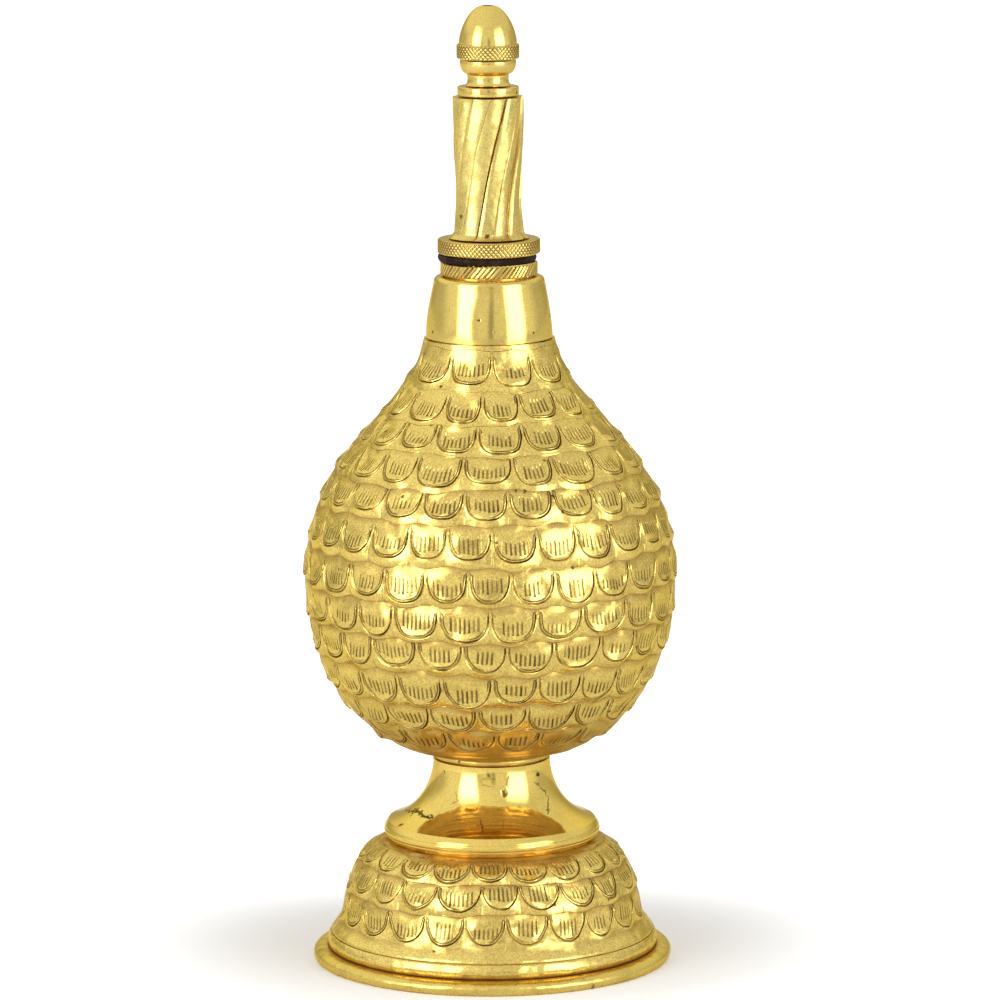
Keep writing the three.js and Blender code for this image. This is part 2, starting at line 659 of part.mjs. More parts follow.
function spoutStem() {
  const section = [
    { across: 0, sunk: 1 },
    { across: 0.14, sunk: 0 },
    { across: 0.52, sunk: 0.1 },
    { across: 0.82, sunk: 0.5 },
  ];
  const heights = [0, STEM_FLARE_HEIGHT / 2, STEM_FLARE_HEIGHT];
  const shaft = STEM_HEIGHT - STEM_FLARE_HEIGHT;
  const steps = Math.max(2, Math.round(shaft / STEM_STEP));
  for (let i = 1; i <= steps; i++) heights.push(STEM_FLARE_HEIGHT + (shaft * i) / steps);
  const around = STEM_FLUTES * section.length;
  const positions = [];
  for (const height of heights) {
    const twist = (THREE.MathUtils.degToRad(STEM_TWIST) * height) / STEM_HEIGHT;
    for (let i = 0; i < around; i++) {
      const { across, sunk } = section[i % section.length];
      const turn = twist + (FULL_TURN * (Math.floor(i / section.length) + across)) / STEM_FLUTES;
      const radius = stemRadius(height) - STEM_FLUTE_DEPTH * sunk;
      positions.push(radius * Math.cos(turn), radius * Math.sin(turn), STEM_BASE + height);
    }
  }
  const faces = [];
  for (let level = 0; level + 1 < heights.length; level++) {
    for (let i = 0; i < around; i++) {
      const [a, b] = [level * around + i, level * around + ((i + 1) % around)];
      faces.push(a, b, b + around, a, b + around, a + around);
    }
  }
  const last = (heights.length - 1) * around;
  const bottom = positions.length / 3;
  positions.push(0, 0, STEM_BASE, 0, 0, STEM_TOP);
  for (let i = 0; i < around; i++) {
    const next = (i + 1) % around;
    faces.push(bottom, next, i, bottom + 1, last + i, last + next);
  }
  const bore = solidOf(rod(SPOUT_BORE, STEM_BASE - 1, STEM_TOP + 1, FACETS_STUD));
  return geometryOf(solidOf(indexed(positions, faces)).subtract(bore));
}

function spoutCollar() {
  const edge = roundedEdge(COLLAR_RADIUS, RING_EDGE, COLLAR_BASE, COLLAR_HEIGHT, 3);
  return turned([v2(SPOUT_BORE, COLLAR_BASE), ...edge, v2(SPOUT_BORE, COLLAR_TOP)], FACETS_SMALL);
}

function spoutHead() {
  const foot = v2(HEAD_NECK_RADIUS, CUP_BASE);
  const neck = [v2(0, HEAD_BASE), v2(HEAD_NECK_RADIUS + RING_EDGE, HEAD_BASE)];
  neck.push(v2(HEAD_NECK_RADIUS, HEAD_BASE + 2 * RING_EDGE), foot);
  const cup = quarter(foot, v2(CUP_RADIUS, CUP_TOP), 4);
  const blank = solidOf(turned([...neck, ...cup, v2(0, CUP_TOP)], FACETS_SMALL));
  const spigot = threadedRod(SPIGOT_THREAD, CUP_TOP - RING_EDGE, SPIGOT_TOP);
  const bore = solidOf(rod(HEAD_BORE, HEAD_BASE - 1, SPIGOT_TOP + 1, FACETS_STUD));
  return geometryOf(blank.add(spigot).subtract(bore));
}

function capSeal() {
  return tube(HEAD_BORE, SEAL_RADIUS, SEAL_BASE, SEAL_TOP, FACETS_STUD);
}

function sprinklerCap() {
  const start = v2(ACORN_RADIUS, BAND_TOP);
  const tip = v2(TIP_RADIUS, CAP_TOP);
  const tipHandle = v2(TIP_RADIUS + ACORN_TIP_HANDLE, CAP_TOP - ACORN_TIP_DROP);
  const acorn = bend(start, v2(start.x, start.y + ACORN_SIDE_HANDLE), tipHandle, tip, 6);
  const band = knurledEdge(BAND_RADIUS, CAP_BASE, BAND_TOP);
  const outline = [v2(0, CAP_BASE), ...band, start, ...acorn, v2(0, CAP_TOP)];
  const seat = SEAL_RADIUS + FIT_GAP;
  const cavity = [v2(0, SPIGOT_TOP - 1), v2(seat, SPIGOT_TOP - 1), v2(seat, SEAL_TOP + SEAT_GAP)];
  cavity.push(v2(HEAD_BORE, SEAL_TOP + SEAT_GAP), v2(TIP_HOLE, CAP_TOP - TIP_THICKNESS));
  cavity.push(v2(TIP_HOLE, CAP_TOP + 1), v2(0, CAP_TOP + 1));
  const blank = solidOf(turned(outline, FACETS_SMALL)).subtract(solidOf(turned(cavity, FACETS_STUD)));
  return geometryOf(blank.subtract(threadedRod(SPIGOT_THREAD, CAP_BASE - 1, SPIGOT_TOP, THREAD_GAP)));
}

// The assembly: the foot, the vessel with its neck, and the spout with its cap

function piece(name, geometry, material) {
  const mesh = new THREE.Mesh(geometry, material);
  mesh.name = name;
  return mesh;
}

const foot = new THREE.Group().add(
  piece("foot_rim", footRim(), brass),
  piece("foot_dome", footDome(), brass),
  piece("foot_cone", footCone(), brass),
  piece("junction_ring", junctionRing(), brass),
  piece("foot_stud", rod(STUD_RADIUS, STUD_BASE, STUD_TOP, FACETS_STUD), brass),
  piece("foot_washer", footWasher(), steel),
  piece("foot_nut", footNut(), steel),
);

const vessel = new THREE.Group().add(
  piece("bulb", bulb(), brass),
  piece("neck_shell", neckShell(), brass),
  piece("neck_ring", neckRing(), brass),
);

const washer = piece("gasket", gasket(), rubber);
washer.position.x = -GASKET_SHIFT;

const cap = new THREE.Group().add(
  piece("cap_seal", capSeal(), rubber),
  piece("sprinkler_cap", sprinklerCap(), brass),
);

const spout = new THREE.Group().add(
  piece("spout_flange", spoutFlange(), brass),
  piece("spout_stem", spoutStem(), brass),
  piece("spout_collar", spoutCollar(), brass),
  piece("spout_head", spoutHead(), brass),
  cap,
);

export default new THREE.Group().add(foot, vessel, washer, spout);
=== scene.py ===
"""Looks of a brass aspergillum: a chased holy-water sprinkler on a spun foot, with a screwed spout.

Lengths are in millimetres while a piece is drawn, and its mesh is made in metres. Turns round the object
are counted from the front, which is -Y, towards the right, which is +X.
"""

import logging
import math
from collections.abc import Sequence
from dataclasses import dataclass, field
from enum import Enum

import bmesh
import bpy
import numpy as np
from bpy.types import Camera, Light, Material, Mesh, Node, NodeTree, Object
from bpy.types import NodeSocket as Socket
from bpy.types import bpy_prop_collection as Sockets
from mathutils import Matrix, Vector


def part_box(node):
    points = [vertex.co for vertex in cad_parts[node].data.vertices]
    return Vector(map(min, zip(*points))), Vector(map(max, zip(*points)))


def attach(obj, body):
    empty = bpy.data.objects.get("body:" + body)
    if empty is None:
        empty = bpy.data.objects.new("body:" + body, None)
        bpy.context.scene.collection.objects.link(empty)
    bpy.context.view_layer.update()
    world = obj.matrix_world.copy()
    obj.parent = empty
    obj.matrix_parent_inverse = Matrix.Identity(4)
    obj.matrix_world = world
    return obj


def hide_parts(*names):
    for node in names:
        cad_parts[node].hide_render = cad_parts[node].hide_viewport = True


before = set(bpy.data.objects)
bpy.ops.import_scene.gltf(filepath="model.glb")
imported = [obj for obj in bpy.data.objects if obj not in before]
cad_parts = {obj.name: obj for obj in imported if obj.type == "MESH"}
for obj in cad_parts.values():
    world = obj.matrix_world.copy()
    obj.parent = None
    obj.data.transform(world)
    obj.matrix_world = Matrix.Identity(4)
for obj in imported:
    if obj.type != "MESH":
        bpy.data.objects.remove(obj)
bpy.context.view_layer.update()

MM = 0.001
FULL_TURN = 2 * math.pi
SEED = 7

COLUMNS = 96  # round a plain turned ring
FINE_COLUMNS = 192  # round the edges of the foot, where facets would show
BORE_COLUMNS = 64  # round the vessel's inside and the bore of the flange
STEM_BORE_COLUMNS = 32
HOLE_COLUMNS = 48  # round the hole in the cap

Array = np.ndarray
Table = tuple[tuple[float, ...], ...]
Colour = tuple[float, float, float]
Fade = tuple[float, float, float, float]  # two values, and the result at each

log = logging.getLogger("aspergillum")


class Slot(Enum):
    """The record's material slots."""

    POLISHED = "polished_brass"
    CHASED = "chased_brass"
    KNURLED = "knurled_brass"
    CAST = "cast_brass"
    STEEL = "zinc_steel"
    RUBBER = "black_rubber"


class Look(Enum):
    """The finishes: a slot may show more than one."""

    POLISHED = "polished"
    SPUN = "spun"
    WORN = "worn"
    CHASED = "chased"
    KNURLED = "knurled"
    CAST = "cast"
    STEEL = "steel"
    RUBBER = "rubber"


class Body(Enum):
    """The bodies that the pieces ride on."""

    BOTTLE = "bottle"
    WASHER = "washer"
    SPOUT = "spout"
    SEAL = "seal"
    CAP = "cap"


class Knurl(Enum):
    """Patterns rolled into a turned edge."""

    DIAMOND = "diamond"
    DIAGONAL = "diagonal"


# Outlines


def bend(start: Sequence[float], start_handle: Sequence[float], end_handle: Sequence[float],
         end: Sequence[float], steps: int) -> Array:
    """A cubic curve as outline points, without its first point.

    Args:
        start: Where the curve starts, as radius and height.
        start_handle: The handle of the start.
        end_handle: The handle of the end.
        end: Where the curve ends.
        steps: How many points it gets.

    Returns:
        The points, one row each.
    """
    t = np.linspace(0, 1, steps + 1)[1:, None]
    a, b, c, d = (np.asarray(p, float) for p in (start, start_handle, end_handle, end))
    return a * (1 - t) ** 3 + 3 * b * t * (1 - t) ** 2 + 3 * c * t * t * (1 - t) + d * t**3


def quarter(start: Sequence[float], end: Sequence[float], steps: int) -> Array:
    """A quarter of an ellipse as outline points, without its first point, which it leaves level.

    Args:
        start: Where it starts, as radius and height.
        end: Where it ends, upright.
        steps: How many points it gets.

    Returns:
        The points, one row each.
    """
    turn = np.linspace(0, math.pi / 2, steps + 1)[1:]
    radius = start[0] + (end[0] - start[0]) * np.sin(turn)
    height = end[1] + (start[1] - end[1]) * np.cos(turn)
    return np.column_stack([radius, height])


def rounded_edge(radius: float, draw_in: float, base: float, height: float, steps: int) -> Array:
    """A rounded edge that stands out to a radius half way up and is drawn in at both ends.

    Args:
        radius: The widest radius.
        draw_in: How much narrower its two ends are.
        base: The height of its lower end.
        height: How tall it is.
        steps: How many stretches it is made of.

    Returns:
        The points from the lower end up.
    """
    share = np.linspace(0, 1, steps + 1)
    return np.column_stack([radius - draw_in * (1 - np.sin(math.pi * share)), base + height * share])


def soft_corner(before: Sequence[float], corner: Sequence[float], after: Sequence[float],
                size: float, steps: int = 3) -> Array:
    """A corner of an outline, rounded off.

    Args:
        before: The point that the outline comes from.
        corner: The sharp corner.
        after: The point that it goes to.
        size: How far from the corner the rounding starts and ends.
        steps: How many stretches the rounding has.

    Returns:
        The points of the rounding.
    """
    a, b, c = (np.asarray(p, float) for p in (before, corner, after))
    start = b + (a - b) * min(0.45, size / np.linalg.norm(a - b))
    end = b + (c - b) * min(0.45, size / np.linalg.norm(c - b))
    t = np.linspace(0, 1, steps + 1)[:, None]
    return start * (1 - t) ** 2 + 2 * b * t * (1 - t) + end * t * t


def inset(points: Array, wall: float) -> Array:
    """The same outline moved towards the axis side by the wall.

    Args:
        points: An outline from the lower end up.
        wall: How far it moves.

    Returns:
        The moved outline.
    """
    along = np.gradient(points, axis=0)
    along /= np.linalg.norm(along, axis=1)[:, None]
    return points + wall * np.column_stack([-along[:, 1], along[:, 0]])


@dataclass(frozen=True)
class Extent:
    """Where a CAD node lies: its lower and upper level and its greatest radius."""

    base: float
    top: float
    radius: float

    @classmethod
    def of(cls, node: str) -> "Extent":
        """The extent of a CAD node, from the frame."""
        low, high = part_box(node)
        return cls(low.z / MM, high.z / MM, (high.y - low.y) / 2 / MM)


class Outline:
    """A turned outline that can be looked up by the length along it, from its upper end down."""

    def __init__(self, points: Array) -> None:
        """Measures the outline.

        Args:
            points: Radius and height of each point, from the upper end down.
        """
        self.points = points
        steps = np.linalg.norm(np.diff(points, axis=0), axis=1)
        self.lengths = np.concatenate([[0.0], np.cumsum(steps)])
        along = np.gradient(points, self.lengths, axis=0)
        along /= np.linalg.norm(along, axis=1)[:, None]
        self.normals = np.column_stack([-along[:, 1], along[:, 0]])

    @property
    def total(self) -> float:
        """The outline's whole length."""
        return float(self.lengths[-1])

    def place(self, length: Array, lift: Array) -> tuple[Array, Array]:
        """Radius and height at a length, lifted off the outline.

        Args:
            length: Lengths along the outline.
            lift: How far each point stands off it, outwards.

        Returns:
            The radii and the heights.
        """
        radius, height = (np.interp(length, self.lengths, self.points[:, i]) for i in (0, 1))
        out, up = (np.interp(length, self.lengths, self.normals[:, i]) for i in (0, 1))
        return radius + out * lift, height + up * lift

    def length_at(self, height: float) -> float:
        """The length at which the outline passes a height."""
        return float(np.interp(-height, -self.points[:, 1], self.lengths))


# Skins


def add_object(name: str, data: Mesh | Light | Camera) -> Object:
    """Adds an object to the scene.

    Args:
        name: Its name.
        data: Its mesh, lamp or camera.

    Returns:
        The object.
    """
    made = bpy.data.objects.new(name, data)
    bpy.context.scene.collection.objects.link(made)
    return made


@dataclass(frozen=True)
class Ring:
    """A ring of vertices: the index of the first one, and the turn of each from the front."""

    first: int
    turns: Array


@dataclass(frozen=True)
class Cell:
    """Where each vertex of a ring lies in its chased scale, in millimetres."""

    aside: Array  # from the scale's middle to the right
    up: Array  # over the bottom of its U
    lot: Array  # a number from 0 to 1 that is the scale's own
    line: Array  # from the U line, inwards
    inside: Array  # 1 in the scale's middle, 0 at its sides


CELL_MARKS = ("aside", "up", "lot", "line", "inside")


def evenly(columns: int) -> Array:
    """The turns of evenly spaced columns."""
    return np.arange(columns) * FULL_TURN / columns


@dataclass
class Skin:
    """A mesh of rings round the axis, joined one to the next."""

    points: list[Array] = field(default_factory=list)
    sunk: list[Array] = field(default_factory=list)
    cells: dict[int, Cell] = field(default_factory=dict)
    faces: list[tuple[int, ...]] = field(default_factory=list)
    count: int = 0

    def ring(self, turns: Array, radii: float | Array, heights: float | Array,
             sunk: float | Array = 0.0) -> Ring:
        """Adds a ring.

        Args:
            turns: The turn of each vertex from the front, increasing, within one full turn.
            radii: The radius of each vertex.
            heights: The height of each vertex.
            sunk: From 0 on open brass to 1 deep in a groove; the finish paints shade and browning by it.

        Returns:
            The ring.
        """
        radii = np.broadcast_to(radii, turns.shape)
        heights = np.broadcast_to(heights, turns.shape)
        self.points.append(np.column_stack([radii * np.sin(turns), -radii * np.cos(turns), heights]) * MM)
        self.sunk.append(np.broadcast_to(sunk, turns.shape))
        made = Ring(self.count, turns)
        self.count += len(turns)
        return made

    def even(self, radius: float, height: float, columns: int = COLUMNS, sunk: float = 0.0) -> Ring:
        """Adds a plain round ring."""
        return self.ring(evenly(columns), radius, height, sunk)

    def grid(self, one: Ring, other: Ring) -> None:
        """Joins two rings with as many vertices, each with its own neighbour.

        Args:
            one: The first ring.
            other: The second ring.
        """
        n = len(one.turns)
        i = np.arange(n)
        j = (i + 1) % n
        rows = np.column_stack([one.first + i, one.first + j, other.first + j, other.first + i])
        self.faces.extend(map(tuple, rows.tolist()))

    def zipper(self, one: Ring, other: Ring) -> None:
        """Joins two rings with any number of vertices, by their turns.

        Args:
            one: The first ring.
            other: The second ring.
        """
        na, nb = len(one.turns), len(other.turns)
        away = (other.turns - one.turns[0] + math.pi) % FULL_TURN - math.pi
        start = int(np.argmin(np.abs(away)))
        a_turns = np.append(one.turns, one.turns[0] + FULL_TURN)
        b_order = (start + np.arange(nb + 1)) % nb
        b_turns = np.unwrap(other.turns[b_order])
        b_turns += one.turns[0] + away[start] - b_turns[0]
        ai = bi = 0
        while ai < na or bi < nb:
            a_at, b_at = one.first + ai % na, other.first + int(b_order[bi])
            if bi == nb or (ai < na and a_turns[ai + 1] <= b_turns[bi + 1]):
                ai += 1
                self.faces.append((a_at, one.first + ai % na, b_at))
            else:
                bi += 1
                self.faces.append((a_at, other.first + int(b_order[bi]), b_at))

    def join(self, one: Ring, other: Ring) -> None:
        """Joins two plain rings, column by column where they match and by their turns otherwise.

        Args:
            one: The first ring.
            other: The second ring.
        """
        if len(one.turns) == len(other.turns):
            self.grid(one, other)
        else:
            self.zipper(one, other)

    def loop(self, rings: Sequence[Ring]) -> None:
        """Joins each ring to the next, and the last one to the first.

        Args:
            rings: The rings, in their order along the outline.
        """
        for one, other in zip(rings, [*rings[1:], rings[0]]):
            self.join(one, other)

    def close(self, ring: Ring, height: float) -> None:
        """Closes a ring with a fan to a point on the axis.

        Args:
            ring: The ring to close.
            height: The height of the point.
        """
        pole = self.ring(np.zeros(1), 0.0, height)
        n = len(ring.turns)
        self.faces.extend((ring.first + i, ring.first + (i + 1) % n, pole.first) for i in range(n))

    def build(self, name: str, sharp: float = 38) -> Object:
        """Makes the mesh object.

        Args:
            name: The piece's name.
            sharp: The angle in degrees from which an edge stays sharp.

        Returns:
            The object, in the scene.
        """
        mesh = bpy.data.meshes.new(name)
        mesh.from_pydata(np.concatenate(self.points).tolist(), [], self.faces)
        self.mark(mesh, "sunk", np.concatenate(self.sunk))
        if self.cells:
            self.mark_cells(mesh)
        mesh.validate()
        made = add_object(name, mesh)
        face_outwards(mesh)
        mesh.polygons.foreach_set("use_smooth", [True] * len(mesh.polygons))
        mesh.set_sharp_from_angle(angle=math.radians(sharp))
        return made

    def mark(self, mesh: Mesh, name: str, values: Array) -> None:
        """Writes one number per vertex on a mesh, for its finish to read."""
        mark = mesh.attributes.new(name, "FLOAT", "POINT")
        mark.data.foreach_set("value", values.astype(np.float32))

    def mark_cells(self, mesh: Mesh) -> None:
        """Writes where each vertex lies in its scale. Outside all scales the line is far away.

        Args:
            mesh: The mesh.
        """
        for name in CELL_MARKS:
            values = np.full(self.count, -9.0 if name == "line" else 0.0)
            for first, cell in self.cells.items():
                values[first:first + len(cell.line)] = getattr(cell, name)
            self.mark(mesh, name, values)


def face_outwards(mesh: Mesh) -> None:
    """Turns all faces of a closed mesh outwards.

    Args:
        mesh: The mesh.
    """
    work = bmesh.new()
    work.from_mesh(mesh)
    bmesh.ops.recalc_face_normals(work, faces=work.faces)
    work.to_mesh(mesh)
    work.free()


def turned(outline: Array, columns: int, wobble: float = 0.0, seed: int = 0,
           sunk: float | Sequence[float] = 0.0) -> Skin:
    """A closed outline turned round the axis.

    Args:
        outline: Radius and height of each point. It closes on itself.
        columns: How many columns of faces go round.
        wobble: How far the hand-worked surface strays from a true turned one.
        seed: Which of the possible strayings it gets.
        sunk: How much painted shade it gets, all over or at each point.

    Returns:
        The skin.
    """
    skin = Skin()
    turns = evenly(columns)
    stray = Unevenness(seed, wobble)
    painted_shade = np.broadcast_to(sunk, len(outline))
    skin.loop([skin.ring(turns, r + stray.at(turns, z), z, shade_amount) for (r, z), shade_amount in zip(outline, painted_shade)])
    return skin


class Unevenness:
    """Slow waves over a surface, as hand work leaves them. The same seed gives the same waves."""

    def __init__(self, seed: int, size: float, waves: int = 7, most: int = 8, steep: float = 0.45) -> None:
        """Draws the waves.

        Args:
            seed: Which waves it gets.
            size: How far they reach.
            waves: How many there are.
            most: How many times at most one of them goes up and down in a full turn.
            steep: How fast at most one of them turns along the outline, in radians per millimetre.
        """
        draw = np.random.default_rng(SEED + seed)
        self.size = size
        self.round = draw.integers(1, most + 1, waves)
        self.along = draw.uniform(-steep, steep, waves)
        self.start = draw.uniform(0, FULL_TURN, waves)

    def at(self, turns: Array, length: float | Array) -> Array:
        """How far the surface strays at a turn and a length or height.

        Args:
            turns: Turns from the front.
            length: The length along the outline, or the height.

        Returns:
            The straying of each place.
        """
        waves = [np.sin(n * turns + k * length + p) for n, k, p in zip(self.round, self.along, self.start)]
        return self.size * sum(waves) / math.sqrt(len(waves))


# Chased scales


@dataclass(frozen=True)
class ScaleRow:
    """A row of chased scales."""

    level: float  # height of the bottoms of its arcs
    count: int
    front: float  # degrees from the front to the middle of the nearest scale
    deep: float = 6.6  # from the tips of its U's to their bottoms


@dataclass(frozen=True)
class Cut:
    """How one ring runs along the U lines of a row."""

    out: float  # out of the line, to the outside of the U
    horn: float  # under the tip of the U
    crossing: float  # under the tip, where it crosses the ridge between two U's
    lift: float


@dataclass(frozen=True)
class Chasing:
    """The chasing of a shell: rows of scales, each a U-shaped line with a raised band under it."""

    rows: tuple[ScaleRow, ...]
    seed: int
    first_edge: float  # from the outline's upper end to the upper edge of the first row
    relief: float = 1.0
    band: float = 1.7  # from the bottoms of the lowest U's to the lower edge of the band under them
    share: float = 0.55  # of the plain between two rows that belongs to the band of the upper one
    band_limits: tuple[float, float] = (0.8, 2.6)  # how narrow and how wide a band can be
    band_rings: tuple[float, ...] = (0.30, 0.55, 0.78)  # from the band's lower edge to the U lines
    scallop: float = 0.8  # how deep that edge is scalloped
    ridge: float = 0.52  # half the width of the ridge between two U's
    tip: float = 0.5  # least distance from the row's upper edge to the tips of its U's
    squareness: float = 2.5  # exponent of the arc: 2 is an ellipse
    columns: int = 10  # from the middle of a scale to the tip of its U
    least_deep: float = 2.0  # of any U
    top_gap: float = 0.25  # from the band above to the first ring under it
    uneven: float = 0.45  # how far the bottoms stray
    tips_uneven: float = 0.4  # how far the tips stray
    cusps_uneven: float = 0.06  # how far the cusps stray, as a share of a scale's width
    middles_uneven: float = 0.03  # how far the middles stray, as a share of it
    slant: float = 0.12  # how far a scale's columns slant at most, as a share of half its width
    relief_uneven: float = 0.22
    cuts: tuple[Cut, ...] = (
        Cut(0.34, 0.30, 0.25, 0.07), Cut(0.0, 0.0, -0.15, -0.16), Cut(-0.34, -0.15, -0.60, 0.03),
    )
    band_shape: Table = (  # over the band's lower edge, lift
        (0, 0.45, 0.9, 1.3, 1.8, 2.6, 4.5, 7.0), (-0.26, -0.12, 0.06, 0.16, 0.22, 0.18, 0.05, 0.0),
    )
    top_shape: Table = ((0.2, 0.9, 1.8, 3.0), (-0.26, -0.20, -0.08, 0.0))
    inside: tuple[float, ...] = (0.11, 0.24, 0.40, 0.58, 0.78, 1.0)
    thumb: float = 0.16  # how deep the middle of a scale is pressed in
    thumb_at: float = 0.54  # the height of that hollow's middle, as a share of the U's
    thumb_wide: float = 0.66  # its half width, as a share of half the scale's
    thumb_tall: float = 0.36  # its half height, as a share of the U's
    bulge: float = 0.22  # how far a scale's lower end stands out over the cusps beside it
    bulge_at: float = 0.8  # how far over the bottom of the U it stands out most
    bulge_tall: float = 3.2
    lean: float = 0.07  # how much the middle of a scale leans, as a slope
    painted_crease_shade: Table = ((0.0, 0.7), (0.34, 0.0))  # over the band's edge, painted shade in the crease
    painted_band_shade: Table = ((0.2, 2.6), (0.40, 0.0))  # under the band above, painted shade
    painted_shade: Table = ((0.0, 1.0), (0.0, 0.0))  # heights, painted shade
    strength: Table = ((0.0, 1.0), (1.0, 1.0))  # heights, how far bands stand out
    crisp: Table = ((0.0, 1.0), (1.0, 1.0))  # heights, how crisp their edges are

    def shares(self) -> Array:
        """Where the columns of half a scale lie, for about even steps along the U.

        Returns:
            The place of each on the arc's quarter turn, from the bottom to the tip.
        """
        steepness = 1.3  # a scale is this much taller than half its width
        turn = np.linspace(0, math.pi / 2, 400)
        across, rise = self.arc(turn)
        way = np.concatenate([[0], np.cumsum(np.hypot(np.diff(across), steepness * np.diff(rise)))])
        return np.interp(np.linspace(0, way[-1], self.columns + 1), way, turn)

    def arc(self, turn: Array) -> tuple[Array, Array]:
        """The U's shape: how far aside and how far up it is at a turn, both from 0 to 1."""
        return np.sin(turn) ** (2 / self.squareness), 1 - np.cos(turn) ** (2 / self.squareness)


